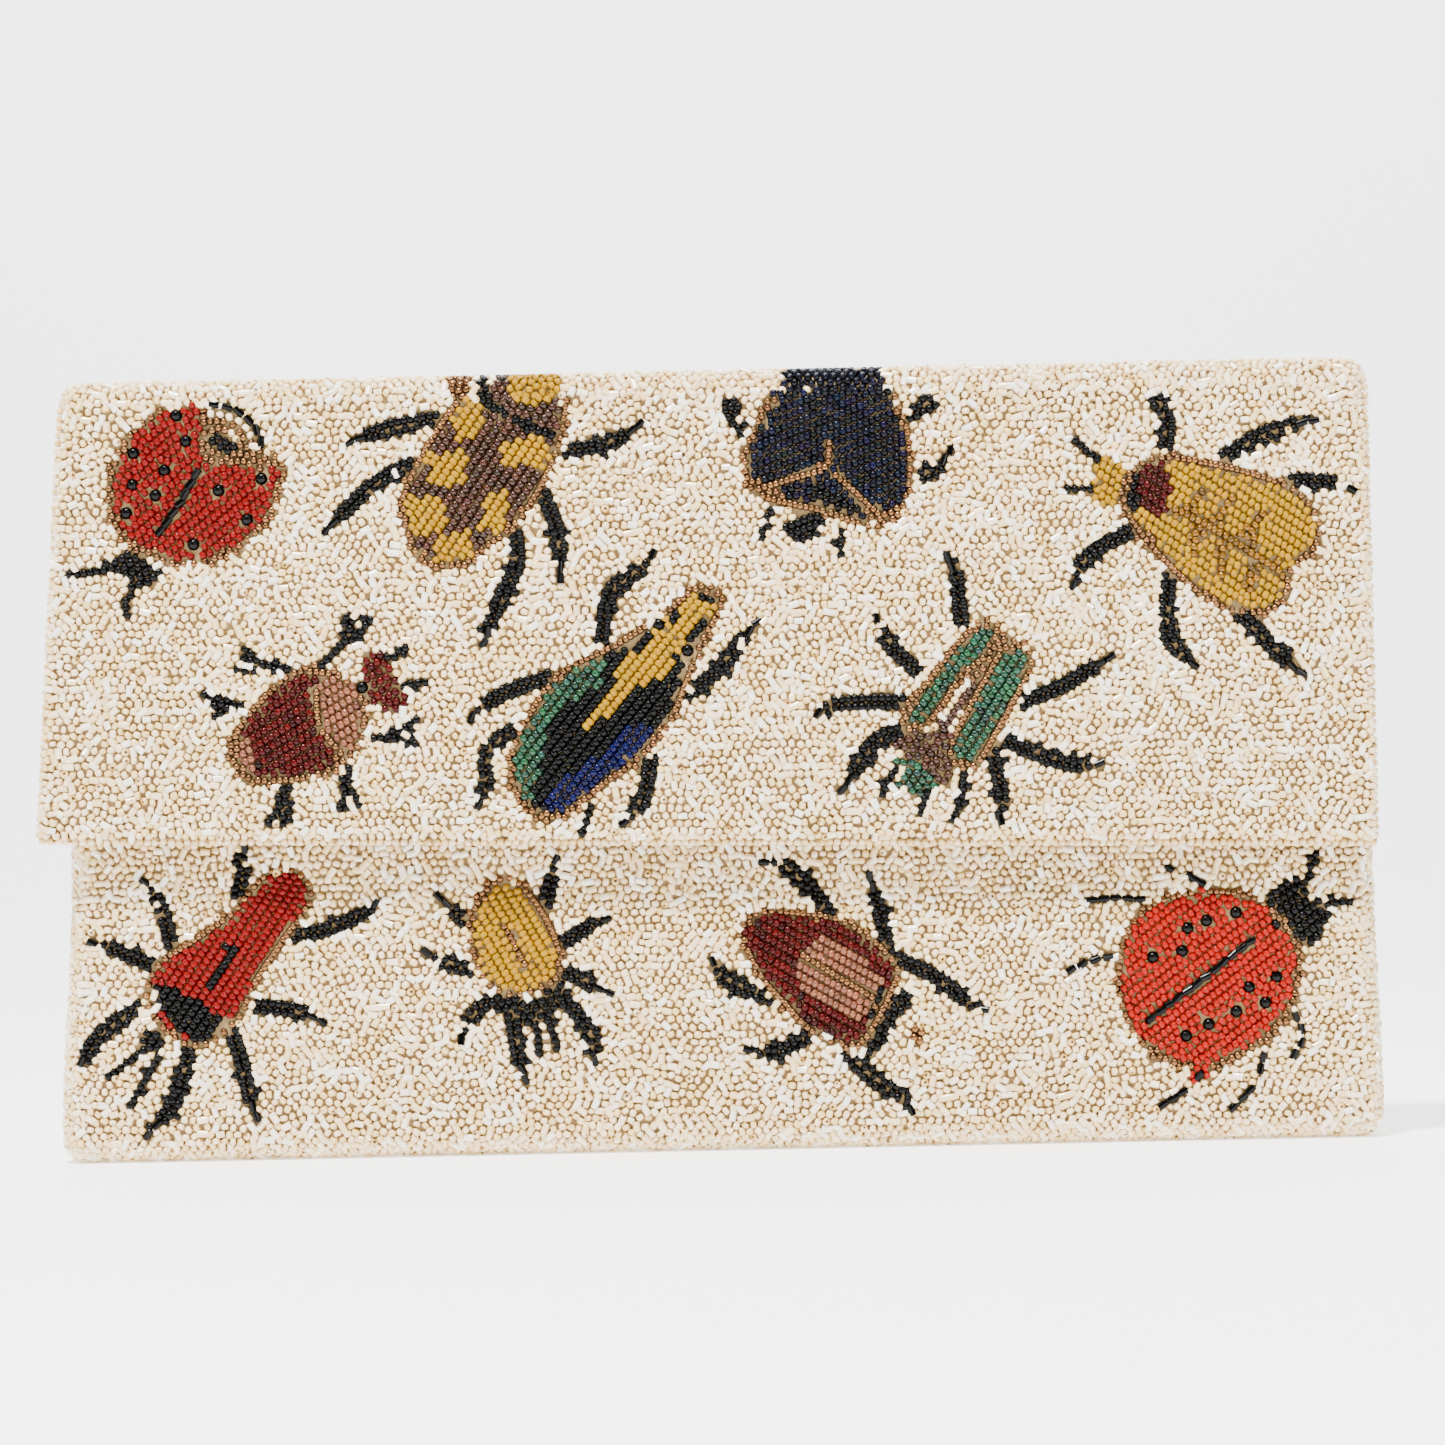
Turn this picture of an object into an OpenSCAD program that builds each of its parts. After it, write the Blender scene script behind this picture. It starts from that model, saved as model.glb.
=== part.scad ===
// Beaded envelope clutch with eleven beetles, a fold-over flap and a magnetic snap.
// X runs along the bag, the front faces -Y and Z is up. The base rests on Z = 0.

/* [Shown part] */
// Which sub-part is drawn

/* [Bag] */
// Length of the closed bag, side to side
body_w = 305; // [240:1:370]
// Height of the closed bag
body_h = 182; // [150:1:220]
// Depth of the pouch over its beads
body_depth = 22; // [17:0.5:30]
// Radius of the two lower corners
corner_r = 6; // [4:0.5:9]

/* [Flap] */
// Length of the flap on its left side, from the top of the bag
flap_left = 107; // [85:1:130]
// Length of the flap on its right side, from the top of the bag
flap_right = 113.5; // [90:0.5:136]
// How far the lower left corner of the flap stands out past the bag
flap_flare = 6.5; // [0:0.5:8]
// Space between the front beads and the flap lining, for the snap
flap_gap = 3; // [2.6:0.1:5]

/* [Layers] */
// Thickness of the ground cloth
cloth_t = 0.6; // [0.4:0.1:1]
// Thickness of the stiffening board
board_t = 1.2; // [0.8:0.1:2]
// Thickness of the satin lining
lining_t = 0.5; // [0.3:0.1:0.8]

/* [Beads] */
// Diameter of a seed bead
bead_d = 1.9; // [1.6:0.05:2.3]
// Length of a seed bead along its hole
bead_l = 1.35; // [1.1:0.05:1.6]
// Diameter of a rim bead
rim_d = 1.5; // [1.2:0.05:1.8]
// Length of a rim bead along its hole
rim_l = 1.15; // [0.9:0.05:1.4]
// Diameter of a cut tube
tube_d = 1.7; // [1.4:0.05:2]
// Length of a cut tube
tube_l = 2.5; // [2:0.1:3]
// Diameter of a round spot bead
round_d = 3; // [2.5:0.1:3.6]
// Clear space between neighbouring beads
bead_gap = 0.1; // [0.06:0.01:0.2]

/* [Snap and pocket] */
// Diameter of the snap's two discs
snap_d = 18; // [15:0.5:20]
// Bore in the socket
snap_bore = 6.4; // [5:0.2:8]
// Diameter of the stud's nose
nose_d = 5; // [4:0.2:6]
// Length of the stud's nose
nose_l = 2; // [1:0.1:2.2]
// From the flap's lower edge up to the snap's centre
snap_up = 16; // [12:0.5:24]
// Length of the inner pocket
pocket_w = 130; // [100:1:160]
// Height of the inner pocket
pocket_h = 95; // [75:1:115]

/* [Hidden] */
$fn = 24;
wall_t = bead_d + cloth_t + board_t + lining_t; // a panel with all its layers
half_w = body_w / 2;
face_y = body_depth / 2;                        // outer face of the pouch's beads
flap_in = -face_y - flap_gap;                   // inner face of the flap
flap_out = flap_in - wall_t;                    // outer face of the flap's beads
hinge_z = body_h - wall_t / 2;                  // both fold lines, at mid thickness
back_y = face_y - wall_t / 2;                   // fold line over the back panel
fold_y = flap_in - wall_t / 2;                  // fold line over the front
fold_e = wall_t / 2 + 0.6;                      // panel edges stop this far from a fold line
panel_top = hinge_z - fold_e;                   // upper edge of the back panel and flap
mouth_z = body_h - wall_t - 1.5;                // upper edge of the front panel and sides
side_in = half_w - bead_d - cloth_t;            // inner face of the gusset cloth
end_x = half_w - 1;                             // half length of the top strip and rolls
binding_t = 0.4;
snap_z = body_h - (flap_left + flap_right) / 2 + snap_up;
disc_t = 1;                                     // thickness of the stud's disc
socket_t = bead_d + flap_gap - disc_t - 0.5;    // socket height over the cloth
washer_t = 0.8;
magnet_t = 1.8;
front_face = -face_y + bead_d;                  // outer face of the front cloth
flap_face = flap_out + bead_d;                  // outer face of the flap cloth
eps = 0.01;

// ---------- curves ----------
function cubic(a, b, c, d, t) =
  ((2 * b) + (c - a) * t + (2 * a - 5 * b + 4 * c - d) * t * t
   + (3 * b - a - 3 * c + d) * t * t * t) / 2;
// A smooth closed curve through p, n steps between two points
function ring(p, n = 4) = let (k = len(p))
  [for (i = [0:k - 1], j = [0:n - 1])
    cubic(p[(i + k - 1) % k], p[i], p[(i + 1) % k], p[(i + 2) % k], j / n)];
// A smooth open curve through p
function line(p, n = 4) = let (k = len(p))
  [for (i = [0:k - 2], j = [0:n - 1])
    cubic(p[max(i - 1, 0)], p[i], p[i + 1], p[min(i + 2, k - 1)], j / n), p[k - 1]];
function sums(p) = let (k = len(p))
  [for (i = 0, t = 0; i < k; t = t + (i < k - 1 ? norm(p[i + 1] - p[i]) : 0), i = i + 1) t];
// Place and heading at distance d along p, whose running lengths are c
function along(p, c, d) =
  let (k = max([0, for (i = [0:len(c) - 2]) if (c[i] <= d) i]),
       f = (d - c[k]) / (c[k + 1] - c[k]), s = p[k + 1] - p[k])
  [p[k] + f * s, atan2(s[1], s[0])];
// Evenly spaced stations on p between two distances
function walk(p, pitch, a = 0, b = 1e6) =
  let (c = sums(p), run = min(b, c[len(c) - 1]) - a, n = floor(run / pitch))
  n < 1 ? [] : [for (i = [0:n - 1]) along(p, c, a + (i + 0.5) * run / n)];
function inside(q, p) = let (k = len(p))
  len([for (i = [0:k - 1]) let (a = p[i], b = p[(i + 1) % k])
    if ((a[1] > q[1]) != (b[1] > q[1])
        && q[0] < (b[0] - a[0]) * (q[1] - a[1]) / (b[1] - a[1]) + a[0]) 1]) % 2 == 1;
function area2(p) = let (k = len(p))
  [for (i = [0:k - 1]) cross(p[i], p[(i + 1) % k])] * [for (i = [1:k]) 1];
// A closed curve moved outwards by m
function grown(p, m) = let (k = len(p), s = sign(area2(p)))
  [for (i = [0:k - 1]) let (t = p[(i + 1) % k] - p[(i + k - 1) % k])
    p[i] + m * s * [t[1], -t[0]] / norm(t)];
// A band of half width m around an open curve
function band(p, m) = let (k = len(p),
    t = [for (i = [0:k - 1]) let (d = p[min(i + 1, k - 1)] - p[max(i - 1, 0)]) d / norm(d)])
  concat([for (i = [0:k - 1]) p[i] + m * [t[i][1], -t[i][0]] + (i == 0 ? -m : i == k - 1 ? m : 0) * t[i]],
         [for (i = [k - 1:-1:0]) p[i] - m * [t[i][1], -t[i][0]] + (i == 0 ? -m : i == k - 1 ? m : 0) * t[i]]);

// ---------- beads ----------
// A bead is [place, heading, length, diameter, kind]; all lie flat on their panel.
function seed(s, kind) = [s[0], s[1], bead_l, bead_d, kind];
function rim(s) = [s[0], s[1], rim_l, rim_d, "bronze"];
function tube(s) = [s[0], s[1], tube_l, tube_d, "tubes"];
function reach(b, n) = abs(n * [cos(b[1]), sin(b[1])]) * b[2] / 2
  + abs(n * [-sin(b[1]), cos(b[1])]) * b[3] / 2;
function split(a, b, n) = abs((b[0] - a[0]) * n) >= reach(a, n) + reach(b, n) + bead_gap * 0.6;
function apart(a, b) = let (far = (a[2] + a[3] + b[2] + b[3]) / 2)
  norm(b[0] - a[0]) > far
  || split(a, b, [cos(a[1]), sin(a[1])]) || split(a, b, [-sin(a[1]), cos(a[1])])
  || split(a, b, [cos(b[1]), sin(b[1])]) || split(a, b, [-sin(b[1]), cos(b[1])]);
function free(b, placed) = len([for (o = placed) if (!apart(b, o)) 1]) == 0;
// Beads that find room, one after another
function settle(new, placed, i = 0) = i >= len(new) ? placed
  : settle(new, free(new[i], placed) ? concat(placed, [new[i]]) : placed, i + 1);

// Rows of seed beads inside an outline; a patch changes the colour of those in it
function fill(outline, kind, tilt, patches) =
  let (x = [cos(tilt), sin(tilt)], z = [-sin(tilt), cos(tilt)],
       px = bead_l + bead_gap, pz = bead_d + bead_gap,
       u = [for (p = outline) p * x], v = [for (p = outline) p * z], shape = grown(outline, -bead_d / 2))
  [for (j = [floor(min(v) / pz):ceil(max(v) / pz)], i = [floor(min(u) / px):ceil(max(u) / px)])
    let (q = x * px * (i + (j % 2) / 2) + z * pz * j)
    if (inside(q, shape))
      let (hit = [for (s = patches) if (inside(q, s[2])) s[1]])
      seed([q, tilt], len(hit) > 0 ? hit[0] : kind)];

// Strokes of a beetle: [stroke, kind, points]
//   body   closed, filled, with a bronze rim       mass   closed and filled, no rim
//   patch  changes the colour of a fill            rim, tubes, vein   a line of beads
//   round  large round beads                       leg    a tube tip, then a double row
//   feeler a single row of black seed beads
function rim_of(s) = let (p = ring(s[2])) [for (w = walk(concat(p, [p[0]]), rim_l + bead_gap)) rim(w)];
function beside(w, m) = [w[0] + m * [-sin(w[1]), cos(w[1])], w[1]];
function leg_of(s) = let (p = line(s[2]), a = 2 * (tube_l + bead_gap), m = (bead_d + bead_gap) / 2)
  concat([for (w = walk(p, tube_l + bead_gap, 0, a)) tube(w)],
         [for (w = walk(p, bead_l + bead_gap, a), side = [-m, m]) seed(beside(w, side), "black")]);
function lines_of(bug) = [
  for (s = bug) if (s[0] == "round") for (p = s[2]) [p, 0, round_d, round_d, "rounds"],
  for (s = bug) if (s[0] == "tubes") for (w = walk(line(s[2]), tube_l + bead_gap)) tube(w),
  for (s = bug) if (s[0] == "rim") for (w = walk(line(s[2]), rim_l + bead_gap)) rim(w),
  for (s = bug) if (s[0] == "body") each rim_of(s),
  for (s = bug) if (s[0] == "vein") for (w = walk(line(s[2]), bead_l + bead_gap)) seed(w, s[1])];
function fills_of(bug, tilt) = let (patches = [for (s = bug) if (s[0] == "patch") s])
  [for (s = bug) if (s[0] == "mass" || s[0] == "body")
    fill(ring(s[2]), s[1], tilt, s[0] == "body" ? patches : [])];
function add_fills(sets, placed, i = 0) = i >= len(sets) ? placed
  : add_fills(sets, concat(placed, [for (b = sets[i]) if (free(b, placed)) b]), i + 1);
function limbs_of(bug) = [
  for (s = bug) if (s[0] == "leg") each leg_of(s),
  for (s = bug) if (s[0] == "feeler")
    for (w = walk(line(s[2]), bead_l + bead_gap)) seed(w, "black")];
// All the beads of one beetle: [centre, row tilt, strokes]
function beads_of(b) =
  settle(limbs_of(b[2]), add_fills(fills_of(b[2], b[1]), settle(lines_of(b[2]), [])));

// ---------- beetles of the flap, placed from the middle of the bag's top ----------
open_ladybird = [[-121, -26], 38, [
  ["round", "", [[-3.5, 17.5], [-1.5, 11.5], [-13.5, 9], [-6.5, 5], [-14, 1.5], [-8.5, -1],
    [-15.5, -5], [6, 0], [16, 2.5], [12.5, -7], [0, -12.5]]],
  ["tubes", "", [[1.5, 5], [-3, -3], [-8.5, -10.5]]],
  ["rim", "", [[4, 16], [9, 15.5], [12, 12], [13, 9]]],
  ["tubes", "", [[4, 20], [10.5, 18.5], [15, 14], [16.5, 9.5]]],
  ["mass", "black", [[-18, -16], [-13, -11], [-7, -14], [-7, -20], [-13, -21]]],
  ["mass", "black", [[4, 9], [4.5, 14], [8.5, 13.5], [11.5, 8.5]]],
  ["body", "red", [[-17, -9.5], [-19.5, -1], [-16.5, 10], [-9, 17.5], [1, 21.5], [3, 15], [3, 7.5],
    [12.5, 6.5], [20.5, 7], [20, -1.5], [14.5, -10], [5, -16], [-5, -17], [-12, -13]]],
  ["feeler", "", [[-29.5, -19], [-24, -18.5], [-18.5, -17.5]]],
  ["feeler", "", [[-15.5, -29.5], [-16, -25], [-14, -21.5]]]]];

striped_beetle = [[-53, -24], 55, [
  ["patch", "yellow", [[3, 28], [19, 28], [18, 17], [11, 16], [3, 18.5]]],
  ["patch", "yellow", [[-7.5, 14.5], [-3, 18.5], [0, 14.5], [-1, 9], [-6.5, 8]]],
  ["patch", "yellow", [[3, 8], [14.5, 9], [15, 2], [4, 2]]],
  ["patch", "yellow", [[-12.5, 5], [-4.5, 6], [-4, -1.5], [-13.5, -2.5]]],
  ["patch", "yellow", [[0, -3.5], [6, -3.5], [5, -11], [-1.5, -12.5]]],
  ["patch", "yellow", [[-18, -5], [-9.5, -4.5], [-9.5, -12.5], [-17, -14.5]]],
  ["patch", "yellow", [[-12, -13.5], [-3, -12.5], [-4.5, -20], [-12, -21]]],
  ["vein", "black", [[-3, 19.5], [6, 13.5], [16, 9]]],
  ["body", "brown", [[-19, -5.5], [-13, 7.5], [-5.5, 18], [1.5, 24.5], [11, 26], [18.5, 24],
    [18.5, 12.5], [15, 1.5], [8, -10], [0.5, -16], [-6.5, -20.5], [-15.5, -18.5]]],
  ["leg", "", [[-32.5, 8], [-27, 10], [-20.5, 12], [-10.5, 13.5]]],
  ["leg", "", [[-38, -13], [-31, -6], [-24.5, -0.5], [-16.5, 3.5]]],
  ["feeler", "", [[-8.5, 24], [-7.5, 21.5], [-5.5, 19.5]]],
  ["feeler", "", [[23, 24], [21.5, 21], [19, 18.5]]],
  ["leg", "", [[37, 12], [30.5, 7.5], [24.5, 6], [16.5, 5.5]]],
  ["leg", "", [[17, -25.5], [17, -16.5], [15.5, -10], [13, -4]]],
  ["leg", "", [[-1.5, -40], [2.5, -30], [7, -20.5], [6.5, -13]]]]];

scarab = [[26, -19], 20, [
  ["rim", "", [[1, 1.5], [0.5, -4]]],
  ["rim", "", [[-1, -5.5], [-7, -7], [-16, -9.5]]],
  ["rim", "", [[2, -6.5], [7, -11], [12, -16]]],
  ["mass", "black", [[-10.5, -18], [-6, -14], [0.5, -17], [-3, -22], [-8.5, -22]]],
  ["patch", "black", [[-10, -13], [-1, -8.5], [8, -15], [4, -18]]],
  ["body", "iris", [[4, 19.5], [-5.5, 16.5], [-14, 8.5], [-18.5, -1], [-17.5, -9], [-12, -12],
    [-0.5, -15], [9.5, -18.5], [16.5, -16], [19.5, -5.5], [18, 7.5], [13, 16]]],
  ["feeler", "", [[-15, -21.5], [-15, -18], [-12.5, -14]]],
  ["feeler", "", [[3, -26], [3, -22], [3.5, -19]]],
  ["leg", "", [[-21.5, 17], [-22, 9.5], [-20, 6], [-17, 2]]],
  ["feeler", "", [[-14, 19], [-12.5, 16], [-10.5, 12.5]]],
  ["leg", "", [[27, 15.5], [26, 11], [22.5, 8.5], [17.5, 6.5]]],
  ["leg", "", [[29.5, -0.5], [26, -5.5], [23, -7], [18.5, -7.5]]]]];

cicada = [[117, -41], -35, [
  ["vein", "amber", [[-12, 7], [1, -0.5], [15, -10]]],
  ["vein", "amber", [[-6.5, 6], [-3.5, 10.5]]],
  ["vein", "amber", [[-0.5, 3], [3.5, 9]]],
  ["vein", "amber", [[6, -1.5], [10.5, 5]]],
  ["vein", "amber", [[-5.5, 1], [-6.5, -5.5]]],
  ["vein", "amber", [[0.5, -3], [0, -10.5]]],
  ["vein", "amber", [[7, -7], [6.5, -14]]],
  ["mass", "yellow", [[-27.5, 17], [-22.5, 15.5], [-21.5, 11], [-24, 6.5], [-28.5, 9]]],
  ["patch", "black", [[-22.5, 5], [-22.5, 14], [-18.5, 14], [-18.5, 5]]],
  ["patch", "garnet", [[-18.5, 14.5], [-12, 17], [-11, 9.5], [-14.5, 3], [-18.5, 6]]],
  ["body", "yellow", [[-23, 9.5], [-19.5, 15.5], [-13.5, 18], [-3, 16.5], [8.5, 13.5], [18, 9.5],
    [23, 2], [21.5, -4], [16, -9], [14, -16.5], [6.5, -18.5], [-2, -16], [-10.5, -8.5], [-18, 0]]],
  ["feeler", "", [[-33.5, 23], [-30.5, 20], [-27.5, 17.5]]],
  ["feeler", "", [[-36, 11], [-33, 11], [-29, 11]]],
  ["leg", "", [[-11.5, 37], [-14, 32], [-11.5, 26.5], [-12.5, 18.5]]],
  ["leg", "", [[23.5, 26], [17.5, 25], [9.5, 22.5], [1, 17.5]]],
  ["leg", "", [[32, 9], [28, 11], [22.5, 12], [16, 12]]],
  ["leg", "", [[-34.5, -12.5], [-33, -7.5], [-29.5, -3.5], [-20.5, 1]]],
  ["leg", "", [[-6, -31], [-11, -26.5], [-13, -21], [-12, -9]]],
  ["leg", "", [[19, -33.5], [13, -28.5], [8.5, -23], [3.5, -18.5]]]]];

stag_beetle = [[-97, -82], 30, [
  ["rim", "", [[4, 9], [4.5, 1], [8.5, -4.5]]],
  ["round", "", [[14.5, 9.5]]],
  ["patch", "peach", [[5, 12], [14, 12], [17, 2], [10, -4.5], [5, 1]]],
  ["patch", "peach", [[-17, -2], [-10.5, -2], [-10.5, -11], [-17, -10]]],
  ["mass", "crimson", [[15.5, 14], [18.5, 17], [22, 11], [24.5, 5.5], [18.5, 4.5], [17, 8]]],
  ["body", "crimson", [[6, 13], [-1.5, 13], [-7.5, 8], [-13, 2], [-16, -5], [-12, -11],
    [-2, -11.5], [6.5, -9.5], [13, -4.5], [15, 2], [14, 7.5], [10.5, 11.5]]],
  ["feeler", "", [[25.5, 18.5], [22.5, 17.5], [20, 16]]],
  ["feeler", "", [[30, 10.5], [26.5, 10], [23.5, 9.5]]],
  ["feeler", "", [[11, 26.5], [12, 22.5], [9, 18.5], [5, 14.5]]],
  ["feeler", "", [[17, 25.5], [14, 22], [11, 19]]],
  ["feeler", "", [[-12.5, 19.5], [-11, 16], [-6.5, 15], [-2, 14]]],
  ["feeler", "", [[-15.5, 14.5], [-11.5, 13.5]]],
  ["feeler", "", [[-22.5, 9], [-18.5, 6.5], [-14.5, 6], [-10, 6]]],
  ["feeler", "", [[-20.5, 3], [-17.5, 4.5]]],
  ["feeler", "", [[-8, -22], [-5, -17.5], [-4, -15.5], [-2.5, -13]]],
  ["feeler", "", [[-3, -22], [-3, -18]]],
  ["feeler", "", [[8.5, -19], [10.5, -15], [11, -12], [11, -8.5]]],
  ["feeler", "", [[13.5, -18.5], [12.5, -15.5]]],
  ["feeler", "", [[27.5, 2], [23, -1], [19.5, -2], [15, -3]]],
  ["feeler", "", [[27.5, -4], [23.5, -3.5]]]]];

weevil = [[-25, -79], 50, [
  ["round", "", [[11.5, 19.5], [18, 13.5]]],
  ["mass", "yellow", [[23.5, 25], [23, 21.5], [18.5, 16.5], [16.5, 12.5], [13, 6.5], [8, 5], [4, 1.5],
    [-1.5, -3], [-6.5, -6], [-6.5, -2.5], [-2, 3.5], [1.5, 10.5], [7, 15], [14, 20.5], [20.5, 26]]],
  ["patch", "green", [[-1, 14], [-9, 9.5], [-17, 2.5], [-22, -5.5], [-25.5, -17], [-19.5, -21.5],
    [-16.5, -14.5], [-14.5, -4.5], [-9, 2], [-2, 6]]],
  ["patch", "cobalt", [[12, -4], [4, -4], [-0.5, -8], [-6, -12.5], [-13, -16], [-15.5, -21],
    [-12, -25], [0, -18.5], [8, -11]]],
  ["body", "black", [[22, 28.5], [12, 21.5], [1.5, 15], [-11, 9], [-19, -1], [-23, -10], [-22.5, -18],
    [-17, -24], [-11, -23.5], [-2, -17], [6.5, -11], [13, -4], [17, 4.5], [21, 14.5], [26, 24]]],
  ["leg", "", [[11, 37], [7.5, 32], [0.5, 27.5], [-2, 14]]],
  ["leg", "", [[35, 20.5], [30.5, 15.5], [26, 9.5], [16, 2]]],
  ["leg", "", [[-33, -2], [-29.5, 1.5], [-23, 5], [-12, 8.5]]],
  ["leg", "", [[-31.5, -22.5], [-29, -16.5], [-28.5, -8.5], [-20.5, -3]]],
  ["feeler", "", [[-8, -31], [-6.5, -26.5], [-4.5, -20]]],
  ["leg", "", [[1.5, -27], [6.5, -22], [8.5, -15], [10, -7]]]]];

green_beetle = [[60, -78], 55, [
  ["vein", "brown", [[3.5, 9.5], [-2.5, 1], [-8.5, -7.5]]],
  ["mass", "brown", [[-19, -10.5], [-15, -9], [-9, -9], [-7, -13], [-8, -19], [-12.5, -15.5]]],
  ["mass", "green", [[-19, -15.5], [-15.5, -15], [-11.5, -19], [-14, -21.5], [-18.5, -19.5]]],
  ["body", "green", [[2, 18], [6, 15], [3, 10.5], [-4, 5], [-8, -1], [-12.5, -6], [-17, -6.5],
    [-17, -2], [-11.5, 4], [-5, 12]]],
  ["body", "green", [[10.5, 13], [12.5, 7.5], [8.5, 0], [4, -8], [-1, -15.5], [-5.5, -15.5],
    [-6.5, -11], [-2.5, -3], [2, 4.5], [6, 11]]],
  ["leg", "", [[-7, 34], [-4.5, 28.5], [-4, 23], [-3, 15]]],
  ["leg", "", [[-23.5, 20], [-22, 15.5], [-19.5, 12], [-13.5, 6]]],
  ["leg", "", [[-38, -3.5], [-34.5, -1], [-27, -0.5], [-17, -0.5]]],
  ["leg", "", [[-32.5, -21.5], [-28, -15], [-24, -9.5], [-18, -7]]],
  ["feeler", "", [[-23, -22.5], [-21, -18.5], [-19, -15.5]]],
  ["feeler", "", [[-14, -27], [-13, -24], [-12, -21]]],
  ["feeler", "", [[-7, -28.5], [-4.5, -24], [-3.5, -17]]],
  ["leg", "", [[4.5, -29.5], [5, -22.5], [3, -12]]],
  ["leg", "", [[29, -15.5], [23.5, -16], [16.5, -14.5], [6, -10]]],
  ["leg", "", [[32, 9.5], [25, 5.5], [19.5, 2.5], [9.5, -1.5]]]]];

flap_bugs = [open_ladybird, striped_beetle, scarab, cicada, stag_beetle, weevil, green_beetle];

// ---------- beetles of the front panel, placed from the middle of the base ----------
net_winged_beetle = [[-115, 47], 57, [
  ["mass", "black", [[-17, -4.5], [-11, -6], [-5.5, -9], [-0.5, -13.5], [-2.5, -18.5], [-8, -19],
    [-14, -14.5], [-18, -9]]],
  ["patch", "black", [[2.5, 2.5], [0, 4], [-5.5, -6], [-3.5, -7]]],
  ["body", "red", [[11.5, 21], [18, 18], [18.5, 12.5], [12.5, 4], [6.5, -5.5], [3, -13.5],
    [-4, -19.5], [-10, -19], [-15.5, -14], [-18.5, -8], [-16, -1], [-7.5, 5], [1, 11], [6, 17]]],
  ["mass", "black", [[-19.5, -17.5], [-16, -14.5], [-11.5, -18.5], [-15, -21.5]]],
  ["leg", "", [[3.5, 27], [4, 23.5], [3, 19], [1.5, 12]]],
  ["leg", "", [[-20.5, 19.5], [-18, 16], [-15.5, 11.5], [-13, 3]]],
  ["leg", "", [[-33, 4.5], [-29, 4], [-23.5, 1.5], [-16, -1.5]]],
  ["leg", "", [[35, 13], [31, 10], [23, 6.5], [13, 5]]],
  ["leg", "", [[23.5, -15.5], [17.5, -12.5], [11.5, -11.5], [3.5, -10.5]]],
  ["leg", "", [[-34.5, -26.5], [-30.5, -19], [-25, -13.5], [-17, -9]]],
  ["leg", "", [[-18, -41], [-13.5, -36], [-9.5, -29.5], [-8, -19]]],
  ["leg", "", [[8, -38], [6, -32], [4.5, -25.5], [1, -15]]],
  ["feeler", "", [[-27, -27], [-21.5, -23], [-17, -19.5]]],
  ["feeler", "", [[-21.5, -34], [-18.5, -28.5], [-15, -22]]]]];

small_yellow_beetle = [[-48, 50], -60, [
  ["rim", "", [[-3, 4], [-0.5, -1], [2, -6]]],
  ["mass", "black", [[-6, -11.5], [2, -14], [10.5, -10.5], [9.5, -15], [3, -18.5], [-4, -16]]],
  ["body", "yellow", [[-4.5, 14], [-1, 14.5], [3.5, 10], [7.5, 3.5], [10, -3.5], [9, -9],
    [0.5, -12.5], [-5, -11], [-9, -5.5], [-10.5, 1.5], [-9, 9.5]]],
  ["leg", "", [[9.5, 20], [8.5, 15], [6, 6.5]]],
  ["leg", "", [[22, 5], [17, 3], [9.5, -1.5]]],
  ["leg", "", [[-19, 11.5], [-15, 7.5], [-10, 3]]],
  ["leg", "", [[-22, -1.5], [-16.5, -5], [-8, -7]]],
  ["leg", "", [[-13, -24], [-11, -18], [-5.5, -13]]],
  ["leg", "", [[2.5, -33.5], [0.5, -27], [-1, -17]]],
  ["leg", "", [[18, -29.5], [17.5, -22], [11, -14]]],
  ["leg", "", [[22.5, -13], [17, -10.5], [10, -6.5]]],
  ["feeler", "", [[5, -27], [5, -22.5], [4, -19]]],
  ["feeler", "", [[9.5, -26], [8.5, -22], [7, -18]]]]];

rose_beetle = [[23, 42], -30, [
  ["rim", "", [[-5, 3.5], [3.5, -2], [11.5, -7]]],
  ["patch", "peach", [[-6, 3.5], [0, 8.5], [8, 3.5], [14.5, -3.5], [10, -6.5], [3.5, -2]]],
  ["patch", "peach", [[-6, 2.5], [3.5, -2], [10.5, -7], [8.5, -12.5], [1, -9], [-7, -2.5]]],
  ["mass", "black", [[11.5, -5], [18, -3], [21.5, -8], [16.5, -14.5], [13.5, -20], [9, -18.5],
    [8.5, -13]]],
  ["mass", "bronze_seed", [[18.5, -13.5], [23, -13.5], [24, -17.5], [19.5, -18.5]]],
  ["body", "crimson", [[-18.5, 10], [-13.5, 13.5], [-5, 13], [3.5, 11.5], [11, 7], [17, 0],
    [15.5, -5.5], [12.5, -11.5], [8.5, -17], [3.5, -17.5], [-3, -14.5], [-9, -8], [-15, -0.5]]],
  ["leg", "", [[-14.5, 25], [-9, 24.5], [-3, 19.5], [3, 11]]],
  ["leg", "", [[11, 22.5], [12.5, 17], [14, 11], [15, 3.5]]],
  ["leg", "", [[38, -10.5], [33, -8.5], [27, -3], [16.5, 2.5]]],
  ["leg", "", [[-26, 3.5], [-24, -1], [-18.5, -4.5], [-10.5, -7]]],
  ["leg", "", [[-19, -18], [-14, -19.5], [-8, -18], [-2.5, -14.5]]],
  ["leg", "", [[20, -34.5], [17, -29.5], [10, -25.5], [2.5, -16.5]]]]];

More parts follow.
